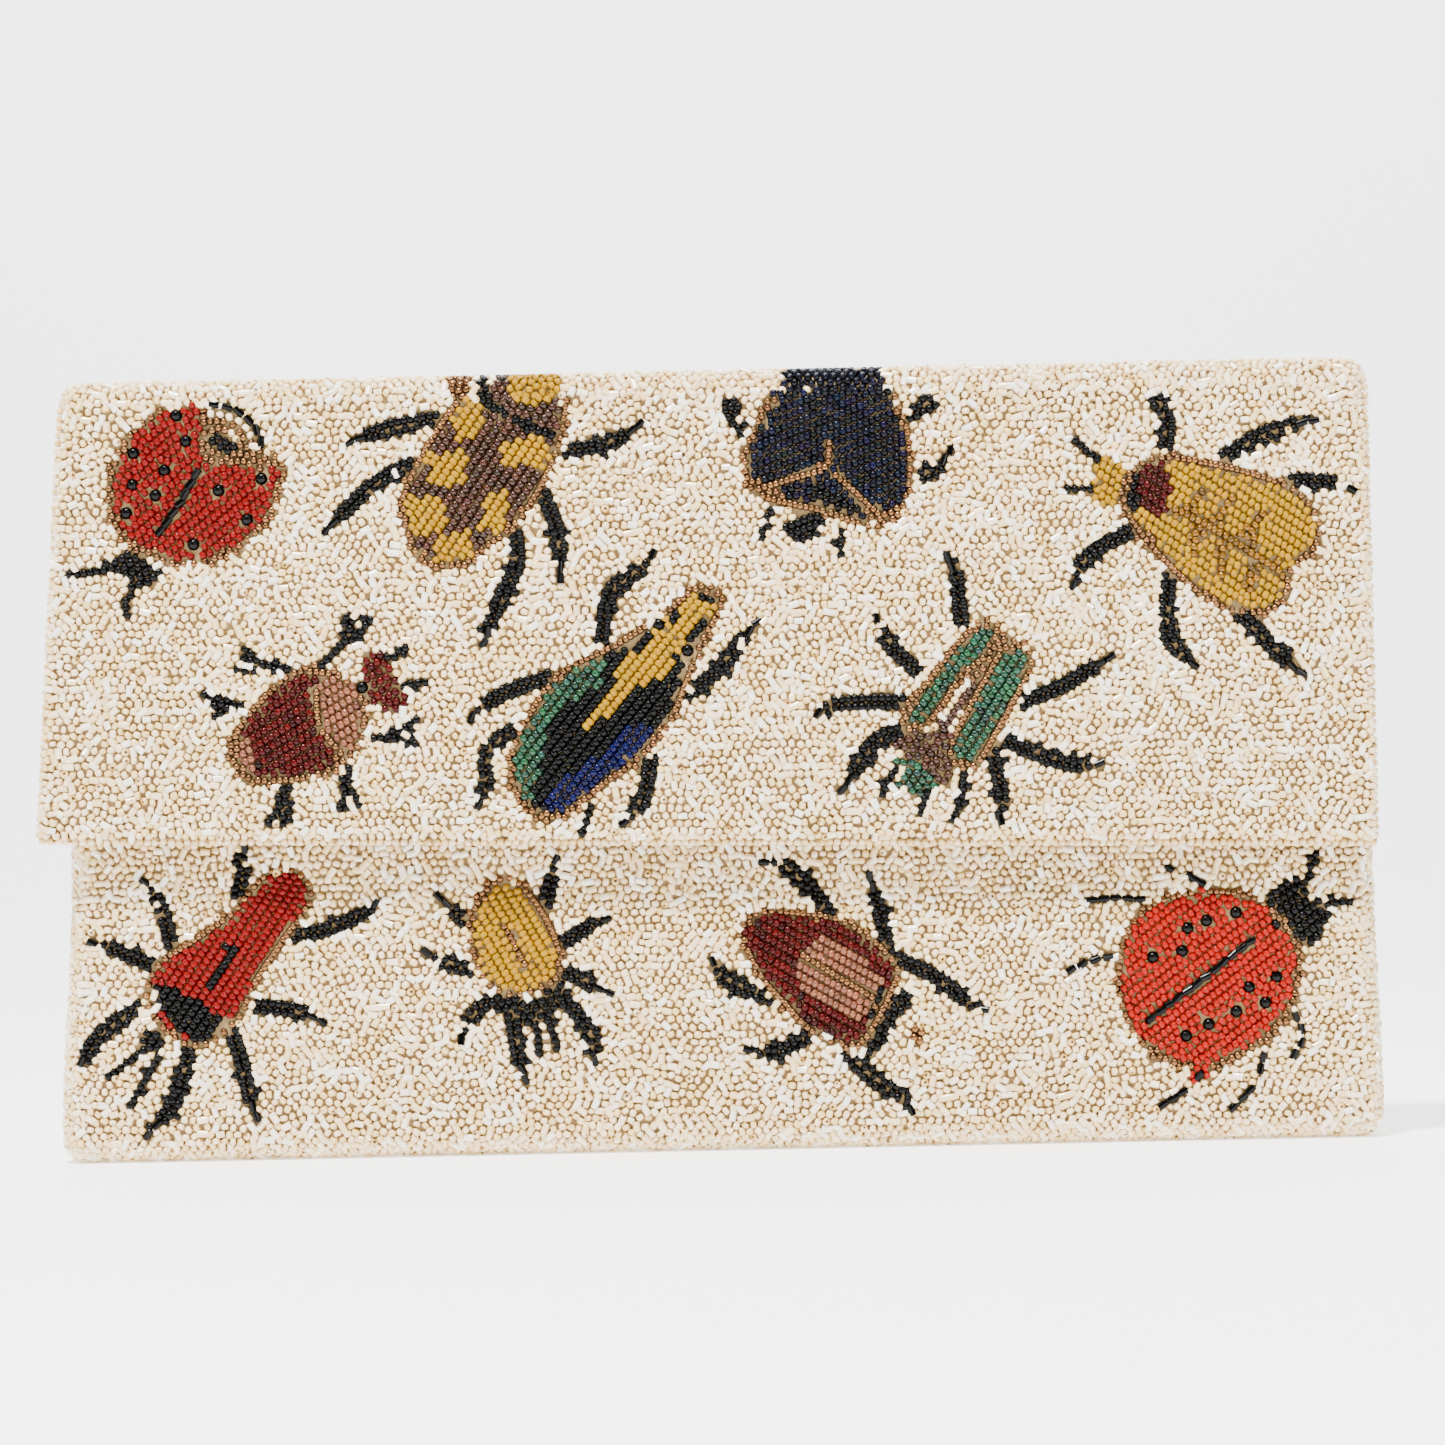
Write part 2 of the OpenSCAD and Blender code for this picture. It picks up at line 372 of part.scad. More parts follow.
coral_ladybird = [[112, 38], 36, [
  ["round", "", [[0.5, 13.5], [7.5, 15], [-12.5, 5], [-5.5, 6.5], [16, 0], [9.5, -2.5], [13.5, -6],
    [6.5, -8], [0, -11], [-5.5, -13.5], [-4, 11.5]]],
  ["tubes", "", [[11.5, 9], [-2, -1], [-14.5, -10]]],
  ["mass", "black", [[12, 17], [17, 22.5], [22, 22], [24.5, 17.5], [28.5, 15], [28, 9.5], [23.5, 6.5],
    [18, 8]]],
  ["body", "coral", [[-20.5, 1], [-18.5, 10], [-13, 16.5], [-5, 19.5], [3.5, 20], [12, 18], [19, 11.5],
    [21.5, 3.5], [20, -4.5], [16.5, -10.5], [9.5, -16.5], [0, -20.5], [-8.5, -19.5], [-15.5, -15],
    [-19.5, -7.5]]],
  ["feeler", "", [[26.5, 29], [26, 25], [23.5, 21.5]]],
  ["feeler", "", [[35, 17], [31.5, 17], [28, 16.5]]],
  ["tubes", "", [[-9, 26], [-4.5, 24.5], [0.5, 21.5]]],
  ["tubes", "", [[-27.5, 18.5], [-20.5, 19], [-13.5, 18.5]]],
  ["tubes", "", [[-33, 2], [-27, 4.5], [-21.5, 5.5]]],
  ["tubes", "", [[18.5, -19.5], [21.5, -14], [19.5, -8]]],
  ["tubes", "", [[4, -31], [10, -25], [12.5, -17.5]]],
  ["tubes", "", [[-12.5, -30], [-6, -26], [-2, -21.5]]]]];

front_bugs = [net_winged_beetle, small_yellow_beetle, rose_beetle, coral_ladybird];

// ---------- outlines, in X and Z ----------
// The flap: inset draws the edge in, except along the fold
function flap_outline(inset = 0, top = 0) = [[-half_w + inset, panel_top - top],
  [half_w - inset, panel_top - top],
  [half_w - inset, body_h - flap_right + inset],
  [-half_w - flap_flare + inset, body_h - flap_left + inset]];
// The pouch from the front
function corner(r, cx, cz, a) = [for (i = [0:6]) [cx + r * cos(a + i * 15), cz + r * sin(a + i * 15)]];
function panel_outline(inset, top) =
  let (r = max(corner_r - inset, 0.5), x = half_w - inset - r, z = inset + r)
  concat([[half_w - inset, top], [-half_w + inset, top]], corner(r, -x, z, 180), corner(r, x, z, 270));

// Beads of one kind that lie wholly on a panel
module beads(bugs, zero, kind, face, outline) {
  for (b = bugs) for (s = beads_of(b)) let (q = b[0] + s[0] + [0, zero])
    if (s[4] == kind && inside(q, outline)) translate([q[0], face - s[3] / 2, q[1]])
      if (kind == "rounds") sphere(d = s[3]);
      else rotate([0, 90 - s[1], 0]) cylinder(d = s[3], h = s[2], center = true);
}
module flap_kind(kind) beads(flap_bugs, body_h, kind, flap_face, flap_outline(bead_d, bead_d * 0.7));
module front_kind(kind)
  beads(front_bugs, 0, kind, front_face, panel_outline(2 * bead_d, mouth_z - bead_d * 0.7));

// Places in a bead field that the beetles take
module beetle_openings(bugs, zero) for (b = bugs) translate(b[0] + [0, zero]) for (s = b[2]) {
  if (s[0] == "body" || s[0] == "mass") polygon(grown(ring(s[2], 3), s[0] == "body" ? rim_d / 2 + 0.3 : 0.3));
  if (len([for (k = ["leg", "feeler", "tubes", "rim", "vein"]) if (s[0] == k) k]) > 0)
    polygon(band(line(s[2], 3), s[0] == "leg" ? bead_d + 0.3 : bead_d / 2 + 0.3));
  if (s[0] == "round") for (p = s[2]) translate(p) circle(d = round_d + 0.4);
}
// A plate standing in the XZ plane, from y towards the back
module plate(y, t) translate([0, y + t, 0]) rotate([90, 0, 0]) linear_extrude(height = t) children();

cream = [0.87, 0.83, 0.74]; satin = [0.78, 0.70, 0.60]; felt = [0.80, 0.78, 0.73];
black = [0.03, 0.03, 0.035]; steel = [0.75, 0.75, 0.77]; bronze = [0.55, 0.36, 0.18];

// ---------- pouch ----------
module panel(y, t, inset, top) plate(y, t) polygon(panel_outline(inset, top));
module front_lining() color(satin) panel(-face_y + wall_t - lining_t, lining_t, bead_d + cloth_t, mouth_z);
module front_board() color(felt) difference() {
  panel(front_face + cloth_t, board_t, bead_d + cloth_t, mouth_z);
  translate([0, front_face + cloth_t - eps, snap_z]) rotate([-90, 0, 0])
    cylinder(d = snap_d - 4, h = board_t + 2 * eps);
}
module front_cloth() color(cream * 0.9) panel(front_face, cloth_t, bead_d, mouth_z);
module front_field() color(cream) plate(-face_y, bead_d) difference() {
  polygon(panel_outline(bead_d, mouth_z));
  beetle_openings(front_bugs, 0);
  translate([0, snap_z]) circle(d = snap_d + 0.6);
}
module back_lining() color(satin) panel(face_y - wall_t, lining_t, bead_d + cloth_t, panel_top);
module back_board() color(felt)
  panel(face_y - bead_d - cloth_t - board_t, board_t, bead_d + cloth_t, panel_top);
module back_cloth() color(cream * 0.9)
  plate(face_y - bead_d - cloth_t, cloth_t) polygon(panel_outline(bead_d, hinge_z - wall_t / 2));
module back_field() color(cream) panel(face_y - bead_d, bead_d, bead_d, panel_top);

// A band that runs down one side, along the base and up the other
module u_band(inset, t, depth, top) plate(-depth / 2, depth) difference() {
  polygon(panel_outline(inset, top));
  polygon(panel_outline(inset + t, top + 1));
}
module side_piece(s) color(cream) translate([s * (half_w - bead_d / 2), 0, (corner_r + mouth_z) / 2])
  cube([bead_d, body_depth, mouth_z - corner_r], center = true);
module left_side_field() side_piece(-1);
module right_side_field() side_piece(1);
module base_field() color(cream) u_band(0, bead_d, body_depth, corner_r);
inner_depth = body_depth - 2 * wall_t;
module gusset_cloth() color(cream * 0.9)
  u_band(bead_d, cloth_t, body_depth - 2 * (bead_d + cloth_t), mouth_z);
module base_board() color(felt) translate([0, 0, bead_d + cloth_t + board_t / 2])
  cube([2 * (side_in - corner_r), inner_depth, board_t], center = true);
module gusset_lining() color(satin) plate(-inner_depth / 2, inner_depth) difference() {
  polygon(panel_outline(bead_d + cloth_t, mouth_z));
  polygon(panel_outline(bead_d + cloth_t + lining_t, mouth_z + 1));
  translate([0, bead_d + cloth_t + board_t / 2]) square([2 * (side_in - corner_r), board_t], center = true);
}
// Tape over the top edge of the front panel and down its inside
module mouth_binding() color(satin * 0.9) {
  translate([-side_in + 1, -face_y + bead_d, mouth_z])
    cube([2 * (side_in - 1), wall_t - bead_d + binding_t, binding_t]);
  translate([-side_in + 1, -face_y + wall_t, mouth_z - 6]) cube([2 * (side_in - 1), binding_t, 6]);
}
pocket_z = 30;
pocket_y = face_y - wall_t - 1.4; // inner face of the pocket
module slip_pocket() color(satin * 0.95) {
  translate([-pocket_w / 2, pocket_y, pocket_z]) cube([pocket_w, lining_t, pocket_h]);
  translate([-pocket_w / 2, pocket_y + lining_t, pocket_z]) difference() {
    cube([pocket_w, 1.4 - lining_t, pocket_h]);
    translate([1.5, -1, 1.5]) cube([pocket_w - 3, 4, pocket_h]);
  }
}
module pocket_binding() color(satin * 0.8)
  translate([-pocket_w / 2, pocket_y - binding_t, pocket_z + pocket_h - 6]) cube([pocket_w, binding_t, 6]);

// ---------- fold over the mouth ----------
module roll(y) translate([0, y, hinge_z]) rotate([0, 90, 0]) {
  cylinder(d = wall_t, h = 2 * end_x - wall_t, center = true);
  for (s = [-1, 1]) translate([0, 0, s * (end_x - wall_t / 2)]) sphere(d = wall_t);
}
module back_roll() color(cream) roll(back_y);
module front_roll() color(cream) roll(fold_y);
strip_a = fold_y + fold_e;
strip_b = back_y - fold_e;
module strip_layer(a, b, z, t) translate([-end_x, a, z]) cube([2 * end_x, b - a, t]);
module strip_lining() color(satin) strip_layer(strip_a, strip_b, body_h - wall_t, lining_t);
module strip_felt() color(felt) strip_layer(strip_a, strip_b, body_h - wall_t + lining_t, board_t);
module strip_cloth() color(cream * 0.9)
  strip_layer(fold_y + wall_t / 2, strip_b, body_h - bead_d - cloth_t, cloth_t);
module strip_field() color(cream) strip_layer(strip_a, strip_b, body_h - bead_d, bead_d);

// ---------- flap ----------
module flap_layer(y, t, inset) plate(y, t) polygon(flap_outline(inset));
module flap_lining() color(satin) flap_layer(flap_in - lining_t, lining_t, 0.6);
module flap_board() color(felt) difference() {
  flap_layer(flap_in - lining_t - board_t, board_t, 1.5);
  translate([0, flap_in - lining_t + eps, snap_z]) rotate([90, 0, 0])
    cylinder(d = snap_d - 4, h = board_t + 2 * eps);
}
module flap_cloth() color(cream * 0.9) flap_layer(flap_face, cloth_t, 0.6);
module flap_field() color(cream) plate(flap_out, bead_d) difference() {
  polygon(flap_outline(0));
  beetle_openings(flap_bugs, body_h);
}
// A row of seed beads hangs from the flap's lower edge
module flap_edge_beads() color(cream) {
  o = flap_outline(0.6);
  a = o[3] + [bead_d, 0];
  run = o[2] - [bead_d, 0] - a;
  n = floor(norm(run) / (bead_d + bead_gap));
  for (i = [0:n - 1]) {
    p = a + run * (i + 0.5) / n;
    translate([p[0], (flap_face + flap_in) / 2, p[1] - bead_l / 2 - 0.06])
      cylinder(d = bead_d, h = bead_l, center = true);
  }
}

// ---------- snap ----------
module along_y(y, d, h) translate([0, y, snap_z]) rotate([-90, 0, 0]) cylinder(d = d, h = h);
module snap_socket() color(steel) difference() {
  along_y(front_face - socket_t, snap_d, socket_t);
  along_y(front_face - socket_t - 1, snap_bore, socket_t + 2);
  along_y(front_face - magnet_t, snap_d - 3, magnet_t + 1);
}
module snap_magnet() color([0.25, 0.25, 0.27]) difference() {
  along_y(front_face - magnet_t, snap_d - 3, magnet_t);
  along_y(front_face - magnet_t - 1, snap_bore, magnet_t + 2);
}
module snap_socket_washer() color(steel) along_y(front_face + cloth_t, snap_d - 5, washer_t);
module snap_stud() color(steel) {
  along_y(flap_in, snap_d, disc_t);
  along_y(flap_in + disc_t, nose_d, nose_l);
}
module snap_stud_washer() color(steel) along_y(flap_in - lining_t - washer_t, snap_d - 5, washer_t);

// ---------- beetle beads ----------
module flap_red() color([0.80, 0.05, 0.03]) flap_kind("red");
module flap_yellow() color([0.93, 0.74, 0.05]) flap_kind("yellow");
module flap_brown() color([0.40, 0.22, 0.10]) flap_kind("brown");
module flap_iris() color([0.14, 0.13, 0.33]) flap_kind("iris");
module flap_amber() color([0.85, 0.48, 0.06]) flap_kind("amber");
module flap_garnet() color([0.45, 0.03, 0.07]) flap_kind("garnet");
module flap_crimson() color([0.60, 0.03, 0.06]) flap_kind("crimson");
module flap_peach() color([0.90, 0.60, 0.42]) flap_kind("peach");
module flap_green() color([0.10, 0.45, 0.16]) flap_kind("green");
module flap_cobalt() color([0.05, 0.15, 0.62]) flap_kind("cobalt");
module flap_bronze() color(bronze) flap_kind("bronze");
module flap_black() color(black) flap_kind("black");
module flap_tubes() color(black) flap_kind("tubes");
module flap_rounds() color(black) flap_kind("rounds");
module front_red() color([0.80, 0.05, 0.03]) front_kind("red");
module front_yellow() color([0.93, 0.74, 0.05]) front_kind("yellow");
module front_crimson() color([0.60, 0.03, 0.06]) front_kind("crimson");
module front_peach() color([0.90, 0.60, 0.42]) front_kind("peach");
module front_coral() color([0.93, 0.22, 0.12]) front_kind("coral");
module front_bronze() color(bronze) { front_kind("bronze"); front_kind("bronze_seed"); }
module front_black() color(black) front_kind("black");
module front_tubes() color(black) front_kind("tubes");
module front_rounds() color(black) front_kind("rounds");

front_lining();
front_board();
front_cloth();
front_field();
back_lining();
back_board();
back_cloth();
back_field();
left_side_field();
right_side_field();
base_field();
gusset_cloth();
gusset_lining();
base_board();
mouth_binding();
slip_pocket();
pocket_binding();
back_roll();
snap_socket();
snap_magnet();
snap_socket_washer();
strip_lining();
strip_felt();
strip_cloth();
strip_field();
front_roll();
flap_lining();
flap_board();
flap_cloth();
flap_field();
flap_edge_beads();
snap_stud();
snap_stud_washer();
flap_red();
flap_yellow();
flap_brown();
flap_iris();
flap_amber();
flap_garnet();
flap_crimson();
flap_peach();
flap_green();
flap_cobalt();
flap_bronze();
flap_black();
flap_tubes();
flap_rounds();
front_red();
front_yellow();
front_crimson();
front_peach();
front_coral();
front_bronze();
front_black();
front_tubes();
front_rounds();
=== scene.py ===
"""A beaded envelope clutch: glass beads sewn over a soft pouch with a fold-over flap."""
import math

import bmesh
import bpy
import numpy as np
from mathutils import Matrix, Vector, kdtree
from mathutils.bvhtree import BVHTree


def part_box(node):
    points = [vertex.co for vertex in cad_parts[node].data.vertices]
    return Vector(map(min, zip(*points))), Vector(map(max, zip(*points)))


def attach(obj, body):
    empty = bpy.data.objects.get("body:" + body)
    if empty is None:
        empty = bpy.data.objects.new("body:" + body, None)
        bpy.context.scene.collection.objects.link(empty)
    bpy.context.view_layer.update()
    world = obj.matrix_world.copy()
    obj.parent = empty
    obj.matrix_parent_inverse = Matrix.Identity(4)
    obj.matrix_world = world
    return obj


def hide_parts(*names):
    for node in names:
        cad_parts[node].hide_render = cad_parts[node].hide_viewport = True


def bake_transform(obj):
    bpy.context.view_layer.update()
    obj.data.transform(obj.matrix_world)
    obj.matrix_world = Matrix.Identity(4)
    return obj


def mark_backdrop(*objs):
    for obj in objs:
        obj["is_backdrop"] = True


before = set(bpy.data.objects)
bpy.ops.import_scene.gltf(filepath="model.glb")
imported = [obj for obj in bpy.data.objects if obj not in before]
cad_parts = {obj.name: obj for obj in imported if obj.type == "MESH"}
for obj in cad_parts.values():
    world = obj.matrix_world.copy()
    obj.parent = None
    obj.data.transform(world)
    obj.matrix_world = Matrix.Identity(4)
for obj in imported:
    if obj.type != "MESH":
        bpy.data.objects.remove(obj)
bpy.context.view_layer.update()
MM = 0.001
rng = np.random.default_rng(20)


# ---------------------------------------------------------------- sizes, in mm, from the frame
def node_box(node):
    lo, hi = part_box(node)
    return np.array(lo) / MM, np.array(hi) / MM


def node_points(node):
    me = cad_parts[node].data
    co = np.empty(len(me.vertices) * 3)
    me.vertices.foreach_get("co", co)
    return co.reshape(-1, 3) / MM


HALF_W = node_box("right_side_field")[1][0]
FRONT_Y, BACK_Y = node_box("right_side_field")[0][1], node_box("right_side_field")[1][1]
MOUTH_Z = node_box("front_field")[1][2]
TOP_Z = node_box("strip_field")[1][2]
FLAP_Y = node_box("flap_field")[0][1]
FLAP_IN = node_box("flap_lining")[1][1]
WALL = FLAP_IN - FLAP_Y
FLAP_TOP = node_box("flap_field")[1][2]
flap_points = node_points("flap_field")
FLAP_LEFT = flap_points[np.argmin(flap_points[:, 0])][[0, 2]]   # lower left corner
FLAP_RIGHT = flap_points[np.argmin(flap_points[:, 2])][[0, 2]]  # lower right corner
snap_lo, snap_hi = node_box("snap_socket")
SNAP = (snap_lo + snap_hi) / 2

R_BODY = 6.0        # rounding of the pouch's edges
R_FOLD = 5.5        # rounding of the two folds and their ends
R_FLAP = 2.6        # rounding of the flap's free edges
CROWN = 1.8         # how far the filled panels stand out in the middle
SPLAY = -3.0, 1.2   # how far the empty bag spreads at its lower left and lower right
FOLD_BAND = 176.0   # height where the flap turns into the fold


# ---------------------------------------------------------------- surfaces
def unit(v):
    return v / np.maximum(np.linalg.norm(v, axis=-1, keepdims=True), 1e-9)


def rounded(p, lo, hi, r):
    """A point on a sharp box moved onto the same box with rounded edges."""
    q = np.clip(p, np.array(lo) + r, np.array(hi) - r)
    return q + r * unit(p - q)


def smooth(t):
    t = np.clip(t, 0, 1)
    return t * t * (3 - 2 * t)


def crown(x, z, top):
    """The swell of a padded panel, less a dimple where the snap draws it in."""
    across = 1 - np.abs(x / HALF_W).clip(0, 1) ** 2.5
    up = smooth(z / 34) * smooth((top - z) / 26)
    snap = 1 - np.exp(-((x - SNAP[0]) ** 2 + (z - SNAP[2]) ** 2) / 24.0 ** 2)
    sag = 1 + 0.22 * np.sin(x * 0.021 + 0.8) + 0.12 * np.sin(x * 0.047 + z * 0.03)
    return CROWN * across * up * snap * sag


OPEN_TOP = 1e4      # the pouch's walls go straight up, with no rounding at the mouth
BODY_LO, BODY_HI = (-HALF_W, FRONT_Y, 0.0), (HALF_W, BACK_Y, OPEN_TOP)


def body_face(x, y, z):
    """The pouch's outside: rounded, swollen at the back, and flat where the flap lies on it."""
    p = rounded(np.stack([x, y, z], -1), BODY_LO, BODY_HI, R_BODY)
    out = crown(p[:, 0], p[:, 2], MOUTH_Z + 4)
    middle = (FRONT_Y + BACK_Y) / 2
    out *= np.where(p[:, 1] < middle, 1 - 0.95 * smooth((p[:, 2] - 40) / 22), 1)
    p[:, 1] += out * np.clip((p[:, 1] - middle) / (BACK_Y - middle), -1, 1)
    flare = smooth((66 - p[:, 2]) / 60) * np.abs(p[:, 0]) / HALF_W
    p[:, 0] += np.where(p[:, 0] < 0, *SPLAY) * flare
    return p


def wall(axis, level):
    """One side of the pouch, at a level along an axis; u and v are the other two coordinates."""
    def face(u, v):
        place = [u, v]
        place.insert(axis, np.full_like(u, level))
        return body_face(*place)
    return face


left_face, right_face = wall(0, -HALF_W), wall(0, HALF_W)
front_face, back_face = wall(1, FRONT_Y), wall(1, BACK_Y)
base_face = wall(2, 0.0)

FOLD_RISE = TOP_Z - R_FOLD - FOLD_BAND      # straight part below each fold
FOLD_ARC = R_FOLD * math.pi / 2
FOLD_FLAT = BACK_Y - FLAP_Y - 2 * R_FOLD     # flat top between the two folds
FOLD_LONG = 2 * (FOLD_RISE + FOLD_ARC) + FOLD_FLAT
FOLD_SPAN = HALF_W - R_FOLD + FOLD_ARC       # half length, measured round the ends


def fold_face(u, s, depth=0.0):
    """The top of the bag: u runs along it and s from the flap, over both folds, to the back."""
    s1, s2 = FOLD_RISE, FOLD_RISE + FOLD_ARC
    s3, s4 = s2 + FOLD_FLAT, s2 + FOLD_FLAT + FOLD_ARC
    turn = np.clip((s - s1) / R_FOLD, 0, math.pi / 2) + np.clip((s - s3) / R_FOLD, 0, math.pi / 2)
    ny, nz = -np.cos(turn), np.sin(turn)
    middle = np.where(s < (s2 + s3) / 2, FLAP_Y + R_FOLD, BACK_Y - R_FOLD)
    y = np.where((s > s2) & (s < s3), FLAP_Y + R_FOLD + s - s2, middle + ny * R_FOLD)
    z = TOP_Z - R_FOLD + nz * R_FOLD + np.minimum(s - s1, 0) - np.maximum(s - s4, 0)
    end = np.clip((np.abs(u) - (HALF_W - R_FOLD)) / R_FOLD, 0, math.pi / 2)
    inset = R_FOLD * (1 - np.cos(end)) + depth * np.cos(end)
    x = np.sign(u) * (np.minimum(np.abs(u), HALF_W - R_FOLD) + (R_FOLD - depth) * np.sin(end))
    return np.stack([x, y - ny * inset, z - nz * inset], -1)


def flap_left_x(z):
    t = (FLAP_TOP - z) / (FLAP_TOP - FLAP_LEFT[1])
    return -HALF_W + (FLAP_LEFT[0] + HALF_W) * t


def flap_bottom_z(x):
    t = (x - FLAP_LEFT[0]) / (FLAP_RIGHT[0] - FLAP_LEFT[0])
    return FLAP_LEFT[1] + (FLAP_RIGHT[1] - FLAP_LEFT[1]) * t


def flap_face(u, v):
    """The flap's outer face, rounded off towards its three free edges."""
    left, right, low = u - flap_left_x(v), HALF_W - u, v - flap_bottom_z(u)
    r = R_FLAP + (R_FOLD - R_FLAP) * smooth((v - 160) / (FOLD_BAND - 160))
    ex = np.clip(r - left, 0, None) * -1 + np.clip(r - right, 0, None)
    ez = -np.clip(r - low, 0, None)
    m = np.sqrt(ex ** 2 + ez ** 2 + r ** 2)
    y = FLAP_Y + r - r * r / m - crown(u, v - 60, FOLD_BAND - 64) * 0.9
    return np.stack([u - ex + r * ex / m, y, v - ez + r * ez / m], -1)


FOLD_CORE = (0.0, (FLAP_Y + BACK_Y) / 2, 168.0)     # a point inside the bag, below the folds


def framed(face, u, v, outward):
    """Places, directions along u and normals on a face, outward or away from the fold's core."""
    h = 0.05
    p = face(u, v)
    du, dv = face(u + h, v) - face(u - h, v), face(u, v + h) - face(u, v - h)
    n = unit(np.cross(du, dv))
    away = p - np.array(FOLD_CORE) if outward is None else np.array(outward, float)
    n *= np.sign(np.sum(n * away, -1, keepdims=True) + 1e-9)
    t = unit(du - n * np.sum(du * n, -1, keepdims=True))
    return p, t, n


def in_scene(name, data):
    ob = bpy.data.objects.new(name, data)
    bpy.context.scene.collection.objects.link(ob)
    return ob


# ---------------------------------------------------------------- beads
def ring_bead(profile, sides, sharp=()):
    """A bead about its thread hole: profile gives (place along the hole, radius) once round."""
    k = len(profile)
    turn = 2 * np.pi * (np.arange(sides) + 0.5) / sides
    prof = np.array(profile)
    verts = np.stack([np.tile(prof[:, 0], sides), np.outer(np.cos(turn), prof[:, 1]).ravel(),
                      np.outer(np.sin(turn), prof[:, 1]).ravel()], -1)
    quads, uvs = [], []
    for i in range(sides):
        for j in range(k):
            a, b, i2 = j, (j + 1) % k, (i + 1) % sides
            quads.append((i * k + a, i2 * k + a, i2 * k + b, i * k + b))
            uvs.append(((i / sides, j / k), ((i + 1) / sides, j / k),
                        ((i + 1) / sides, (j + 1) / k), (i / sides, (j + 1) / k)))
    return verts, np.array(quads), np.array(uvs).reshape(-1, 2), k, sharp


SEED = ring_bead([(-0.42, 0.34), (-0.50, 0.56), (-0.38, 0.88), (-0.14, 1.0), (0.14, 1.0),
                  (0.38, 0.88), (0.50, 0.56), (0.42, 0.34)], 9)
SEED_PLAIN = ring_bead([(-0.46, 0.40), (-0.42, 0.80), (-0.20, 1.0), (0.20, 1.0),
                        (0.42, 0.80), (0.46, 0.40)], 7)
TUBE = ring_bead([(-0.49, 0.46), (-0.50, 0.93), (-0.475, 1.0), (0.475, 1.0), (0.50, 0.93),
                  (0.49, 0.46)], 10, sharp=(0, 1, 2, 3, 4, 5))
TUBE_PLAIN = ring_bead([(-0.5, 0.5), (-0.49, 1.0), (0.49, 1.0), (0.5, 0.5)], 7, sharp=(0, 1, 2, 3))
ROUND = ring_bead([(-0.47, 0.16), (-0.46, 0.38), (-0.38, 0.66), (-0.20, 0.92), (0.0, 1.0),
                   (0.20, 0.92), (0.38, 0.66), (0.46, 0.38), (0.47, 0.16)], 18)
MAX_TRIS = 190000   # in one piece; more beads than this are shared out over several


class Beads:
    """A growing list of beads: centre, axis, normal, length, diameter, colours of top and side, the side's
    darkening being painted shade.
    """

    def __init__(self):
        self.rows = []

    def add(self, centre, axis, normal, length, diameter, top, side):
        n = len(centre)
        spread = lambda a, k: np.broadcast_to(np.asarray(a, float).reshape(-1, k), (n, k))
        self.rows.append(np.hstack([centre, axis, normal, spread(length, 1), spread(diameter, 1),
                                    spread(top, 3), spread(side, 3)]))

    def build(self, name, shape, material, place, replaces=(), slot=None):
        if not self.rows:
            return []
        rows = np.vstack(self.rows)
        per = max(1, MAX_TRIS // (2 * len(shape[1])))
        parts = math.ceil(len(rows) / per)
        made = []
        for i in range(parts):
            chunk = rows[i::parts]
            label = name if parts == 1 else "%s_%d" % (name, i + 1)
            piece = self.mesh(label, chunk, shape, material)
            place(piece)
            made.append(piece)
        if replaces:
            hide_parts(*replaces)
        return made

    @staticmethod
    def mesh(name, rows, shape, material):
        verts, quads, uvs, rings, sharp = shape
        n, k = len(rows), len(verts)
        c, x, z = rows[:, 0:3], unit(rows[:, 3:6]), rows[:, 6:9]
        y = unit(np.cross(z, x))
        z = np.cross(x, y)
        length, radius = rows[:, 9], rows[:, 10] / 2
        co = (c[:, None] + x[:, None] * (verts[None, :, 0:1] * length[:, None, None])
              + (y[:, None] * verts[None, :, 1:2] + z[:, None] * verts[None, :, 2:3])
              * radius[:, None, None])
        me = bpy.data.meshes.new(name)
        me.vertices.add(n * k)
        me.vertices.foreach_set("co", (co * MM).astype(np.float32).ravel())
        loops = (quads[None] + (np.arange(n) * k)[:, None, None]).ravel()
        me.loops.add(len(loops))
        me.loops.foreach_set("vertex_index", loops.astype(np.int32))
        me.polygons.add(len(loops) // 4)
        me.polygons.foreach_set("loop_start", np.arange(0, len(loops), 4, dtype=np.int32))
        me.update(calc_edges=True)
        me.polygons.foreach_set("use_smooth", np.ones(len(loops) // 4, bool))
        if sharp:
            ends = np.empty(len(me.edges) * 2, np.int32)
            me.edges.foreach_get("vertices", ends)
            ring = (ends.reshape(-1, 2) % k) % rings
            crease = (ring[:, 0] == ring[:, 1]) & np.isin(ring[:, 0], sharp)
            me.attributes.new("sharp_edge", "BOOLEAN", "EDGE").data.foreach_set("value", crease)
        # Painted shade: each bead's colour runs from the top colour on its outward face to the darker side
        # colour where it turns down to the cloth
        rise = (verts[:, 2] * 0.5 + 0.5)[None, :, None] ** 1.3
        tint = rows[:, None, 14:17] * (1 - rise) + rows[:, None, 11:14] * rise
        tint = np.concatenate([tint, np.ones((n, k, 1))], -1)
        me.color_attributes.new("tint", "FLOAT_COLOR", "POINT").data.foreach_set(
            "color", tint.astype(np.float32).ravel())
        cells = math.ceil(math.sqrt(n))
        cell = np.stack([np.arange(n) % cells, np.arange(n) // cells], -1)[:, None]
        uv = (cell + 0.1 + 0.8 * uvs[None]) / cells
        me.uv_layers.new(name="OFBake").uv.foreach_set("vector", uv.astype(np.float32).ravel())
        me.materials.append(material)
        return in_scene(name, me)


def rider(body):
    return lambda piece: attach(piece, body)


